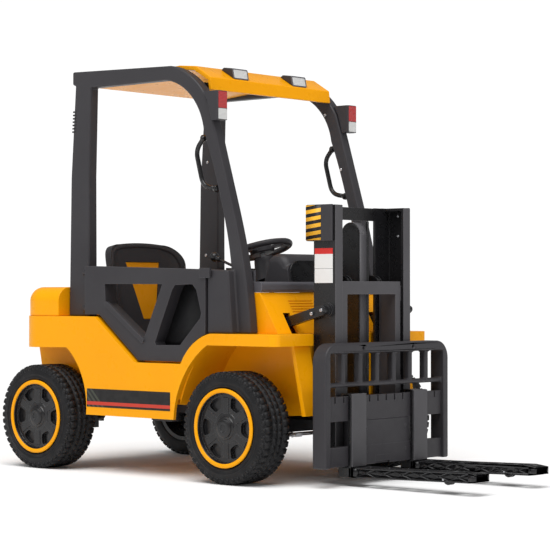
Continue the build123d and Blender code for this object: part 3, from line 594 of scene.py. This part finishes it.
RIM_BARREL = (
    (214.5, 77.6), (214.5, 87.6), (295.5, 87.6), (296.4, 86.6), (296.4, 78.2), (295.4, 77.4),
    (289.5, 76.8), (287.8, 75.6), (270, 75.6), (270, 77.6),
)
RIM_HUB = (
    (209, 8.1), (209, 19), (270, 19), (270, 76), (279.4, 76), (279.4, 36), (288.4, 35.4), (289.6, 34),
    (290, 27), (292.4, 25.4), (293.4, 21.6), (296.2, 20.6), (297.6, 18), (298, 13.5), (298, 9.4),
    (296, 8.6), (296, 0), (290.5, 0), (290.5, 8.1),
)
TRIM_RING = (
    (295.5, 78.6), (298.2, 78.2), (299.5, 79.6), (300, 81.8), (300, 84.2), (299.5, 86.3),
    (298.2, 87.7), (295.5, 87.8),
)
DISC_RADIUS = 76
DISC_BACK, DISC_FACE = 279.0, 288.0
SPOKE_FOOT, SPOKE_TOP = 287.8, 289.8
STUD_FOOT = 287.7
STUD_CIRCLE = 74.3
STUD = ((0, 0), (0, 1.4), (1.5, 1.2), (1.9, 0.7), (2.0, 0))
RIM_WINDOWS = 6
RIM_STUDS = 36


def rim_window(middle):
    """Outline of one opening between the spokes, on the wheel's face."""
    corners = []
    for radius, turn in ((46, -14.5), (70, -17.5), (72.5, 0), (70, 17.5), (46, 14.5)):
        angle = math.radians(middle + turn)
        corners.append((radius * math.cos(angle), radius * math.sin(angle)))
    return rounded(corners, 7, 4)


def make_rim():
    """Rim barrel, hub, and a disc with windows, raised spokes and a ring of studs."""
    bm = bmesh.new()
    lathe(bm, RIM_BARREL, OUTWARD, 96)
    lathe(bm, RIM_HUB, OUTWARD, 64)
    circle = []
    for step in range(96):
        angle = math.tau * step / 96
        circle.append((DISC_RADIUS * math.cos(angle), DISC_RADIUS * math.sin(angle)))
    windows = [rim_window(360 * i / RIM_WINDOWS) for i in range(RIM_WINDOWS)]
    plate(bm, circle, windows, DISC_BACK, DISC_FACE,
          lambda u, v, out: Vector((u * MM, out * MM, v * MM)))
    for spoke in range(RIM_WINDOWS):
        middle = 360 * (spoke + 0.5) / RIM_WINDOWS
        corners = []
        for out, shrink in ((SPOKE_FOOT, 0.0), (SPOKE_TOP, 1.4)):
            end = 69 - shrink
            for radius, half in ((33, -12.0), (end, -8.0), (end, 8.0), (33, 12.0)):
                half -= math.copysign(shrink * 0.8, half)
                corners.append(polar(radius, middle + half, out))
        hexahedron(bm, corners)
    for stud in range(RIM_STUDS):
        foot = polar(STUD_CIRCLE, 360 * stud / RIM_STUDS, STUD_FOOT)
        lathe(bm, STUD, Matrix.Translation(foot) @ OUTWARD, 8, closed=False)
    return finish_mesh("rim", bm)


def make_trim_ring():
    """Smooth ring that stands on the edge of the rim."""
    bm = bmesh.new()
    lathe(bm, TRIM_RING, OUTWARD, 128)
    return finish_mesh("trim_ring", bm)


def add_wheels():
    """The four wheels, each of a tyre, a rim and a trim ring that share their meshes."""
    tyre, rim, ring = make_tyre(), make_rim(), make_trim_ring()
    for mesh, material in ((tyre, TYRE), (rim, BLACK), (ring, YELLOW)):
        mesh.materials.append(material)
    for axle, x in (("rear", REAR_AXLE_X), ("front", FRONT_AXLE_X)):
        for side, s in SIDES:
            place = Matrix.Translation((x, 0, AXLE_Z))
            if s < 0:
                place = place @ Matrix.Rotation(math.pi, 4, "Z")
            body = f"{axle}_wheel_{side}"
            add_piece(f"{axle}_tread_{side}", tyre, TYRE, body, place,
                      stands_for=(f"{axle}_tyre_{side}",))
            add_piece(f"{axle}_wheel_disc_{side}", rim, BLACK, body, place, soft=0.6,
                      stands_for=(f"{axle}_rim_{side}",))
            add_piece(f"{axle}_trim_ring_{side}", ring, YELLOW, body, place)


# ---- forks, carriage and mast ---------------------------------------------------------------
FORK_INNER, FORK_OUTER = 86.0, 137.0
BLADE_REAR, BLADE_TIP = 850.0, 1181.0
FORK_BOTTOM = 20.0
POCKETS = (895, 947, 999, 1051, 1145)
ROLLER_X, ROLLER_Z = 1098.0, 31
WEB_INSET = 4.5
FLANGE = 3.2
OVERLAP = 0.5
HEEL_X, TOE_X = 866.0, 1163.0    # the blade is solid behind and ahead of these
TRUSS_START, TRUSS_END = 866.0, 1160.0
TRUSS_CELLS = 6
TRUSS_HALF = 1.1
TRUSS_IN = 2.6
SHANK_TOP = 203


def along_profile(points):
    """Height of a broken line of (x, z) points, as a function of x."""
    def height(x):
        for (x1, z1), (x2, z2) in zip(points, points[1:]):
            if x <= x2:
                return z1 + (z2 - z1) * (x - x1) / (x2 - x1)
        return points[-1][1]
    return height


blade_top = along_profile(((BLADE_REAR, 43), (900, 43), (1150, 50), (BLADE_TIP, 46)))
blade_bottom = along_profile(((BLADE_REAR, 20), (1165, 28), (BLADE_TIP, 30)))


def blade_pockets():
    """Outlines of the openings through a right-hand blade: pockets, and the roller's slot."""
    middle = (FORK_INNER + FORK_OUTER) / 2
    outlines = []
    for x, half_x, half_y, corner in [(x, 20, 12, 5) for x in POCKETS] + [(ROLLER_X, 14, 9, 1)]:
        sharp = [(x - half_x, middle - half_y), (x + half_x, middle - half_y),
                 (x + half_x, middle + half_y), (x - half_x, middle + half_y)]
        outlines.append(rounded(sharp, corner, 4))
    return outlines


def add_trusses(blade, over):
    """Crossed ribs in the two long sides of a blade."""
    cell_length = (TRUSS_END - TRUSS_START) / TRUSS_CELLS
    for cell in range(TRUSS_CELLS):
        x1 = TRUSS_START + cell * cell_length
        x2 = TRUSS_START + (cell + 1) * cell_length
        for from_top in (False, True):
            z1 = blade_top(x1) - TRUSS_IN if from_top else blade_bottom(x1) + TRUSS_IN
            z2 = blade_bottom(x2) + TRUSS_IN if from_top else blade_top(x2) - TRUSS_IN
            rib = ((x1, z1 - TRUSS_HALF), (x2, z2 - TRUSS_HALF),
                   (x2, z2 + TRUSS_HALF), (x1, z1 + TRUSS_HALF))
            for y1, y2 in ((FORK_INNER + 0.8, FORK_INNER + 6), (FORK_OUTER - 6, FORK_OUTER - 0.8)):
                hexahedron(blade, [over(x, y, z) for y in (y1, y2) for x, z in rib])


def add_fork(side, s):
    """Fork: blade with flanges, a recessed web with crossed ribs and pockets, and the shank."""
    stations = [BLADE_REAR] + [870 + 20 * i for i in range(15)] + [1165.0, BLADE_TIP]

    def over(x, y, z):
        return at(x, s * y, z)

    def outline(inset):
        near = [(x, FORK_INNER + inset) for x in stations]
        far = [(x, FORK_OUTER - inset) for x in reversed(stations)]
        return near + far

    pockets = blade_pockets()
    blade = bmesh.new()
    plate(blade, outline(0), pockets, lambda x: blade_top(x) - FLANGE, blade_top, over)
    plate(blade, outline(0), pockets, blade_bottom, lambda x: blade_bottom(x) + FLANGE, over)
    plate(blade, outline(WEB_INSET), pockets, lambda x: blade_bottom(x) + FLANGE - OVERLAP,
          lambda x: blade_top(x) - FLANGE + OVERLAP, over)
    for x1, x2 in ((BLADE_REAR, HEEL_X), (TOE_X, BLADE_TIP)):
        end = ((x1, blade_bottom(x1)), (x2, blade_bottom(x2)), (x2, blade_top(x2)), (x1, blade_top(x1)))
        hexahedron(blade, [over(x, y, z) for y in (FORK_INNER, FORK_OUTER) for x, z in end])
    add_trusses(blade, over)
    body = f"fork_{side}"
    add_piece(f"fork_blade_{side}", blade, BLACK, body, stands_for=(body,))

    inner, outer = s * FORK_INNER, s * FORK_OUTER
    hook_inner, hook_outer = s * (FORK_INNER + 8), s * (FORK_OUTER - 8)
    shank = bmesh.new()
    block(shank, 843, 850.5, inner, outer, FORK_BOTTOM, SHANK_TOP)
    block(shank, 815, 858, inner, outer, FORK_BOTTOM, 42)
    block(shank, 816, 845, hook_inner, hook_outer, 198, SHANK_TOP)
    block(shank, 816, 822, hook_inner, hook_outer, 184, 200)
    add_piece(f"fork_shank_{side}", shank, BLACK, body, soft=1.2)

    # the front cover's lighter charcoal is painted light from the front
    cover = bmesh.new()
    block(cover, 850.3, 854, s * (FORK_INNER + 0.5), s * (FORK_OUTER - 0.5), 42.5, 202.6)
    add_piece(f"fork_cover_{side}", cover, FRONT_LIT_CHARCOAL, body, soft=1.4, segments=3)


def add_fork_roller(side, s):
    """Small wheel in the blade with a groove round its tread, on a steel axle."""
    place = facing(at(ROLLER_X, s * (FORK_INNER + FORK_OUTER) / 2, ROLLER_Z), (0, 1, 0))
    body = f"fork_roller_{side}"
    tread = ((-8, 3), (-8, 10.5), (-7, 12), (-1.2, 12), (-0.8, 11.2), (0.8, 11.2), (1.2, 12), (7, 12),
             (8, 10.5), (8, 3))
    roller = bmesh.new()
    lathe(roller, tread, place, 40)
    add_piece(f"fork_wheel_{side}", roller, BLACK, body, stands_for=(body,))
    pin = ((-25, 0), (-25, 2.4), (-24.2, 3), (24.2, 3), (25, 2.4), (25, 0))
    axle = bmesh.new()
    lathe(axle, pin, place, 24, closed=False)
    add_piece(f"fork_wheel_axle_{side}", axle, ZINC, body)


def screw(bm, centre, direction, radius, height=1.6):
    """Pan-head screw with a round socket, standing on centre."""
    head = ((-0.4, radius), (0.35 * height, radius), (0.8 * height, 0.82 * radius),
            (height, 0.5 * radius), (0.3 * height, 0.42 * radius), (0.3 * height, 0))
    lathe(bm, head, facing(centre, direction), 18, closed=False)


CAB_SCREWS = ((85, 520), (90, 760), (486, 858), (536, 722), (574, 590), (600, 490))
CAP_SCREW_HEIGHTS = (600, 554)
STRUT_BOLTS = ((785, 385), (757, 377))


def add_screws():
    """Screws of the cab frame, mast and struts."""
    cab_inside, mast_inside, strut_outside = 212, 129, 160.6
    cab = bmesh.new()
    for x, z in CAB_SCREWS:
        for _, s in SIDES:
            screw(cab, at(x, s * cab_inside, z), (0, -s, 0), 4.0, 2.0)
    add_piece("cab_screws", cab, ZINC, TRUCK, stands_for=("frame_screws",))
    mast = bmesh.new()
    for _, s in SIDES:
        for z in CAP_SCREW_HEIGHTS:
            screw(mast, at(775, s * mast_inside, z), (0, -s, 0), 3.2)
        for x, z in STRUT_BOLTS:
            screw(mast, at(x, s * strut_outside, z), (0, s, 0), 4.2, 1.8)
    add_piece("mast_screws", mast, ZINC, TRUCK)


def add_hazard_films():
    """Striped film round the rear half of each mast cap."""
    bottom, top = 540, 617.5
    for side, s in SIDES:
        film = bmesh.new()
        block(film, 726.4, 769, s * 141.9, s * 142.3, bottom, top)
        block(film, 725.6, 726.4, s * 113, s * 142.3, bottom, top)
        add_piece(f"hazard_film_{side}", film, HAZARD, TRUCK)


def add_carrier_panel():
    """Raised cover panel in the middle of the fork carrier, with its screws."""
    panel = bmesh.new()
    outline = [(-83, 49), (83, 49), (83, 141), (-83, 141)]
    plate(panel, rounded(outline, 3, 3), (), 839.5, 841.6, lambda u, v, w: at(w, u, v))
    for y in (-70, 70):
        for z in (72, 124):
            screw(panel, at(841.4, y, z), (1, 0, 0), 3.0, 1.4)
    add_piece("carrier_panel", panel, CHARCOAL, "carriage", soft=0.7)


# ---- cab --------------------------------------------------------------------------------------
HANDLE_PATH = ((499, 779), (471, 748), (494, 665), (541, 657))
HANDLE_Y = 229
HANDLE_BEND = 26
HANDLE_FOOT = ((3, 0), (3, 8.2), (8, 8.2), (10, 6.8), (14, 5.6))


def add_grab_handles():
    """Bent tube with a collar at each end, on each front post."""
    for side, s in SIDES:
        handle = bmesh.new()
        bends = [at(x, s * HANDLE_Y, z) for x, z in HANDLE_PATH]
        path = rounded(bends, HANDLE_BEND * MM, 8, closed=False)
        tube(handle, path, 5.5, 20)
        for end, inner in ((path[0], path[1]), (path[-1], path[-2])):
            lathe(handle, HANDLE_FOOT, facing(end, inner - end), 24, closed=False)
        add_piece(f"cab_handle_{side}", handle, BLACK, TRUCK, stands_for=(f"grab_handle_{side}",))


ROOF_LAMP_Y, ROOF_LAMP_HALF = 104, 26
ROOF_LAMP_SIDE = ((456.6, 941.6), (496.2, 917.7), (491, 943), (464, 946.5))


def add_roof_lamps():
    """Two white lamps standing on the visor: dark housing, bezel and ribbed lens."""
    foot, top = [at(x, 0, z) for x, z in ROOF_LAMP_SIDE[1:3]]
    up = (top - foot).normalized()
    across = Vector((0, 1, 0))
    outward = across.cross(up)
    for side, s in SIDES:
        centre = (foot + top) / 2 + across * s * ROOF_LAMP_Y * MM

        def place(u, v, w):
            return centre + (across * u + up * v + outward * w) * MM

        def corners(half_width, half_height, corner):
            sharp = [(-half_width, -half_height), (half_width, -half_height),
                     (half_width, half_height), (-half_width, half_height)]
            return rounded(sharp, corner, 5)

        housing = bmesh.new()
        hexahedron(housing, [at(x, s * ROOF_LAMP_Y + y, z) for y in (-ROOF_LAMP_HALF, ROOF_LAMP_HALF)
                             for x, z in ROOF_LAMP_SIDE])
        add_piece(f"roof_lamp_housing_{side}", housing, CHARCOAL, TRUCK, soft=2.0, segments=3,
                  stands_for=("roof_lamps",) if s < 0 else ())
        bezel = bmesh.new()
        plate(bezel, corners(ROOF_LAMP_HALF, 12.6, 4), (corners(23, 10, 3),), -1.0, 1.2, place)
        add_piece(f"roof_lamp_bezel_{side}", bezel, GREY, TRUCK, soft=0.5)
        glass = bmesh.new()
        plate(glass, corners(23.2, 10.2, 3), (), -0.5, 0.6, place)
        add_piece(f"roof_lamp_glass_{side}", glass, CLEAR_LENS, TRUCK, soft=0.4)


LAMP_INNER, LAMP_OUTER = 218, 245
LAMP_BACK = 552.5
RED_BOTTOM, RED_TOP = 839.4, 877
CLEAR_BOTTOM, CLEAR_TOP = 814, 838.4
LAMP_FRAME = 1.6


def add_side_lamps():
    """Red over clear lenses with a frame round them, on the front posts."""
    for side, s in SIDES:
        def upright(inner, outer, low, high, corner):
            sharp = [(s * inner, low), (s * outer, low), (s * outer, high), (s * inner, high)]
            return rounded(sharp, corner, 4)

        for part, low, high, material in (("red", RED_BOTTOM, RED_TOP, RED_LENS),
                                          ("clear", CLEAR_BOTTOM, CLEAR_TOP, CLEAR_LENS)):
            glass = bmesh.new()
            plate(glass, upright(LAMP_INNER, LAMP_OUTER, low, high, 2.5), (), LAMP_BACK, 557.6,
                  lambda u, v, w: at(w, u, v))
            stands = ("side_lamp_lenses",) if (side, part) == ("right", "red") else ()
            add_piece(f"side_lamp_{part}_{side}", glass, material, TRUCK, soft=0.8, stands_for=stands)
        frame_ring = bmesh.new()
        outline = upright(LAMP_INNER - LAMP_FRAME, LAMP_OUTER + LAMP_FRAME,
                          CLEAR_BOTTOM - LAMP_FRAME, RED_TOP + LAMP_FRAME, 3)
        hole = upright(LAMP_INNER, LAMP_OUTER, CLEAR_BOTTOM, RED_TOP, 2)
        plate(frame_ring, outline, (hole,), LAMP_BACK, 556, lambda u, v, w: at(w, u, v))
        add_piece(f"side_lamp_frame_{side}", frame_ring, CHARCOAL, TRUCK, soft=0.5)


STEERING_TILT = math.radians(17)
STEERING_PLACE = Matrix.Translation(at(468, 0, 525)) @ Matrix(
    ((math.cos(STEERING_TILT), 0, -math.sin(STEERING_TILT), 0), (0, 1, 0, 0),
     (math.sin(STEERING_TILT), 0, math.cos(STEERING_TILT), 0), (0, 0, 0, 1)))


SPOKE_TURNS = (20, 160, 270)
GRIP_RADIUS = 67
WHEEL_HUB = (
    (-10, 0), (-10, 27), (-8, 29.5), (1, 29.5), (4, 27), (4.6, 20), (3.6, 19.2), (3.6, 18.4),
    (4.8, 17.6), (5, 8), (5, 0),
)


def add_steering_wheel():
    """Round grip, thicker at its three spokes, and a domed hub."""
    wheel = bmesh.new()
    steps = 96
    circle, radii = [], []
    for step in range(steps):
        turn = math.tau * step / steps
        circle.append(Vector((GRIP_RADIUS * MM * math.cos(turn), GRIP_RADIUS * MM * math.sin(turn), 0)))
        at_spoke = max(math.cos(turn - math.radians(a)) for a in SPOKE_TURNS)
        radii.append(7.2 + 0.8 * max(0.0, (at_spoke - 0.9) / 0.1))
    tube(wheel, circle, radii, 18, closed=True)
    for turn in SPOKE_TURNS:
        angle = math.radians(turn)
        outward = Vector((math.cos(angle), math.sin(angle), 0))
        sideways = Vector((-math.sin(angle), math.cos(angle), 0))
        corners = []
        for height in (-5.5, 0.5):
            for radius, half, rise in ((18, -11, 1.5), (64, -7, 0), (64, 7, 0), (18, 11, 1.5)):
                upward = Vector((0, 0, height + rise))
                corners.append((outward * radius + sideways * half + upward) * MM)
        hexahedron(wheel, corners)
    lathe(wheel, WHEEL_HUB, Matrix.Identity(4), 56, closed=False)
    add_piece("steering_wheel_rim", wheel, CHARCOAL, "steering", STEERING_PLACE, soft=1.0,
              stands_for=("steering_wheel",))


LEVER_TILT = math.radians(20)
KNOB_CENTRE, KNOB_RADIUS = 114, 11
LEVER_FERRULE = ((95, 3.4), (95, 5.4), (100, 6), (106, 6))
LEVER_ROD = ((3, 3.4), (106, 3.0))
LEVER_HUB = ((-4.4, 0), (-4.4, 6.6), (-4, 7), (4, 7), (4.4, 6.6), (4.4, 0))
LEVER_PIVOT = ((-10, 0), (-10, 3), (10, 3), (10, 0))


def add_lever():
    """Lift lever: round knob, rod with a ferrule, and its pivot."""
    up = Vector((-math.cos(LEVER_TILT), 0, math.sin(LEVER_TILT)))
    foot = at(601, -192, 466)
    along, across = facing(foot, up), facing(foot, (0, 1, 0))
    steps = 16
    knob = [(KNOB_CENTRE - KNOB_RADIUS, 0)]
    for step in range(1, steps):
        turn = math.pi * step / steps
        knob.append((KNOB_CENTRE - KNOB_RADIUS * math.cos(turn), KNOB_RADIUS * math.sin(turn)))
    knob.append((KNOB_CENTRE + KNOB_RADIUS, 0))
    lever = bmesh.new()
    lathe(lever, knob, along, 32, closed=False)
    lathe(lever, LEVER_FERRULE, along, 24, closed=False)
    lathe(lever, LEVER_ROD, along, 20, closed=False)
    lathe(lever, LEVER_HUB, across, 28, closed=False)
    lathe(lever, LEVER_PIVOT, across, 20, closed=False)
    add_piece("lift_lever_stick", lever, BLACK, "lift_lever", stands_for=("lift_lever",))


def add_door_panels():
    """Black panel in the front window of each door."""
    outline = [(439, 441), (493, 443), (506, 430), (521, 378), (518, 366), (455, 304), (378, 303),
               (375, 310), (430, 430)]
    for side, s in SIDES:
        panel = bmesh.new()
        plate(panel, rounded(outline, 5, 4), (), 230.4, 232, lambda u, v, w: at(u, s * w, v))
        add_piece(f"door_front_panel_{side}", panel, MATT, f"door_{side}")


def add_mast_strips():
    """Thin strip of lighter charcoal down the front of each mast channel, painted light from the front.
    """
    for side, s in SIDES:
        # painted light: a thin sheet of lighter charcoal on the front face
        strip = bmesh.new()
        block(strip, 804.6, 805.8, s * 110.4, s * 134.8, 45.5, 617.5)
        add_piece(f"mast_strip_{side}", strip, FRONT_LIT_CHARCOAL, TRUCK, soft=0.4)


COLUMN_X, COLUMN_ARCH_Z, COLUMN_RADIUS = 748.5, 556, 26.5


def add_column_strip():
    """Strip of lighter charcoal up the front of the lift column and over its rounded top, painted light
    from the front and above.
    """
    half_width, foot_z, steps = 12, 148.0, 24
    forward = Vector((1, 0, 0))
    centre = Vector((COLUMN_X, 0, COLUMN_ARCH_Z))
    outline = [(COLUMN_X + COLUMN_RADIUS, foot_z), (COLUMN_X + COLUMN_RADIUS, COLUMN_ARCH_Z)]
    for step in range(1, steps + 1):
        turn = math.pi * step / steps
        outline.append((COLUMN_X + COLUMN_RADIUS * math.cos(turn),
                        COLUMN_ARCH_Z + COLUMN_RADIUS * math.sin(turn)))

    def lifted(x, y, z, lift):
        straight = z <= COLUMN_ARCH_Z and x > COLUMN_X
        away = forward if straight else (Vector((x, 0, z)) - centre).normalized()
        return at(x + away.x * lift, y, z + away.z * lift)

    # painted light: a thin sheet of lighter charcoal over the front and the top
    strip = bmesh.new()
    for (x1, z1), (x2, z2) in zip(outline, outline[1:]):
        corners = []
        for lift in (-0.5, 0.7):
            for x, z, y in ((x1, z1, -half_width), (x2, z2, -half_width),
                            (x2, z2, half_width), (x1, z1, half_width)):
                corners.append(lifted(x, y, z, lift))
        hexahedron(strip, corners)
    add_piece("column_strip", strip, FRONT_LIT_CHARCOAL, TRUCK)


def add_post_vents():
    """Dark louvres at the rear edge of each cab post."""
    count, pitch, lean = 7, 8, 0.5
    for side, s in SIDES:
        vents = bmesh.new()
        for vent in range(count):
            x = 74 + lean * vent
            z = 809 + pitch * vent
            block(vents, x - 6, x + 8, s * 239.2, s * 240.5, z, z + 4)
        add_piece(f"post_vents_{side}", vents, BLACK, TRUCK, soft=0.3)


def add_instruments():
    """Dark front panel of the cowl, and two dials facing the driver."""
    lean = 0.14
    panel = bmesh.new()
    outline = rounded([(-90, 451), (90, 451), (88, 482), (66, 498), (-66, 498), (-88, 482)], 14, 6)
    plate(panel, outline, (), 632, 637.5, lambda u, v, w: at(w - (v - 450) * lean, u, v))
    add_piece("cowl_front_panel", panel, BLACK, TRUCK, soft=1.0)
    rim = ((-3, 0), (-3, 17), (2.6, 17), (3.2, 16), (2.4, 14.6), (0.8, 14.4), (0.8, 0))
    for side, s in SIDES:
        dial = bmesh.new()
        face = facing(at(557.2, s * 40, 474), (-1, 0, 0.31))
        lathe(dial, rim, face, 48, closed=False)
        add_piece(f"dial_{side}", dial, GREY, TRUCK)


SEAT_BACK_FOOT = (104, 0, 308)
SEAT_BACK_TILT = 0.19
SEAT_BACK_HALF = ((0, 244), (75, 240), (114, 224), (130, 185), (126, 110), (98, 4))


def seat_back_forward(across):
    """How far the front face of the seat back bends forward, this far from its middle, in mm."""
    flat_half, bend_width, bend_depth = 62, 72, 26
    return bend_depth * (max(0.0, abs(across) - flat_half) / bend_width) ** 2.4


def add_seat_rim():
    """Rolled lip round the front face of the seat back."""
    inset, sink = 7, 2.0
    across = Vector((0, 1, 0))
    normal = Vector((1, 0, SEAT_BACK_TILT)).normalized()
    up = normal.cross(across)
    corners = [Vector((-u, v)) for u, v in reversed(SEAT_BACK_HALF[1:])]
    corners += [Vector(corner) for corner in SEAT_BACK_HALF]
    middle = Vector((0, 120))
    path = []
    for u, v in rounded([c + (middle - c).normalized() * inset for c in corners], 24, 5):
        forward = normal * (seat_back_forward(u) - sink)
        path.append(at(*SEAT_BACK_FOOT) + (across * u + up * v + forward) * MM)
    lip = bmesh.new()
    tube(lip, path, 5.5, 14, closed=True)
    add_piece("seat_back_lip", lip, CHARCOAL, TRUCK)


# ---- studio -------------------------------------------------------------------------------------
CAMERA_LENS = 125.07
CAMERA_FROM_REAR_AXLE = (3.484, -3.3776, 0.426)
VIEW_DIRECTION = (-0.6609, 0.7504, 0.0105)
FLOOR_RADIUS = 150.0
WORLD_LIGHT = 0.3       # strength of the surroundings as a light
WORLD_SEEN = 1.05       # their strength as seen by the camera


def add_camera():
    """Long lens from ahead on the right, a little below the middle of the truck."""
    camera = bpy.data.objects.new("camera", bpy.data.cameras.new("camera"))
    bpy.context.scene.collection.objects.link(camera)
    camera.data.sensor_width = 36.0
    camera.data.lens = CAMERA_LENS
    ahead, left, height = CAMERA_FROM_REAR_AXLE
    camera.location = (REAR_AXLE_X + ahead, left, height)
    camera.rotation_mode = "QUATERNION"
    camera.rotation_quaternion = Vector(VIEW_DIRECTION).to_track_quat("-Z", "Y")
    bpy.context.scene.camera = camera


def add_floor():
    """Pale round floor that reaches the horizon."""
    bm = bmesh.new()
    bmesh.ops.create_circle(bm, cap_ends=True, radius=FLOOR_RADIUS, segments=96)
    floor = bpy.data.objects.new("floor", finish_mesh("floor", bm))
    bpy.context.scene.collection.objects.link(floor)
    material, tree, shader, coordinates = new_material("pale_floor")
    tint = remap(tree, noise(tree, coordinates, 1.5), 0.3, 0.7, 0.945, 0.955)
    tree.links.new(tint, shader.inputs["Base Color"])
    shader.inputs["Roughness"].default_value = 0.85
    shader.inputs["Specular IOR Level"].default_value = 0.1
    floor.data.materials.append(material)


def add_light(name, kind, direction, location=(0, 0, 3), **values):
    """Light at location that shines along direction."""
    data = bpy.data.lights.new(name, kind)
    for key, value in values.items():
        setattr(data, key, value)
    light = bpy.data.objects.new(name, data)
    light.location = location
    light.rotation_mode = "QUATERNION"
    light.rotation_quaternion = Vector(direction).to_track_quat("-Z", "Y")
    bpy.context.scene.collection.objects.link(light)


def add_world():
    """Dim white surroundings that light the truck, seen by the camera as plain white."""
    world = bpy.data.worlds.new("studio")
    bpy.context.scene.world = world
    world.use_nodes = True
    tree = world.node_tree
    path = tree.nodes.new("ShaderNodeLightPath")
    strength = remap(tree, path.outputs["Is Camera Ray"], 0.0, 1.0, WORLD_LIGHT, WORLD_SEEN)
    background = tree.nodes["Background"]
    background.inputs["Color"].default_value = (1, 1, 1, 1)
    tree.links.new(strength, background.inputs["Strength"])


def add_lights():
    """Broad light from above, and two weak lamps for the side and the front."""
    add_light("sky", "SUN", (-0.4, 0.7, -1.8), energy=2.85, angle=math.radians(50))
    add_light("side", "AREA", (1.5, 3.2, -1.3), (-1.6, -3.2, 1.8), shape="DISK", size=1.6, energy=12)
    add_light("front", "AREA", (-3.0, 0.4, -0.9), (3.6, -0.4, 1.4), shape="DISK", size=1.4, energy=14)
    bpy.context.scene.view_settings.view_transform = "Standard"


finish_cad_nodes()
add_wheels()
for side_name, sign in SIDES:
    add_fork(side_name, sign)
    add_fork_roller(side_name, sign)
add_screws()
add_hazard_films()
add_carrier_panel()
add_grab_handles()
add_roof_lamps()
add_side_lamps()
add_steering_wheel()
add_lever()
add_instruments()
add_seat_rim()
add_door_panels()
add_mast_strips()
add_column_strip()
add_post_vents()
add_camera()
add_floor()
add_world()
add_lights()
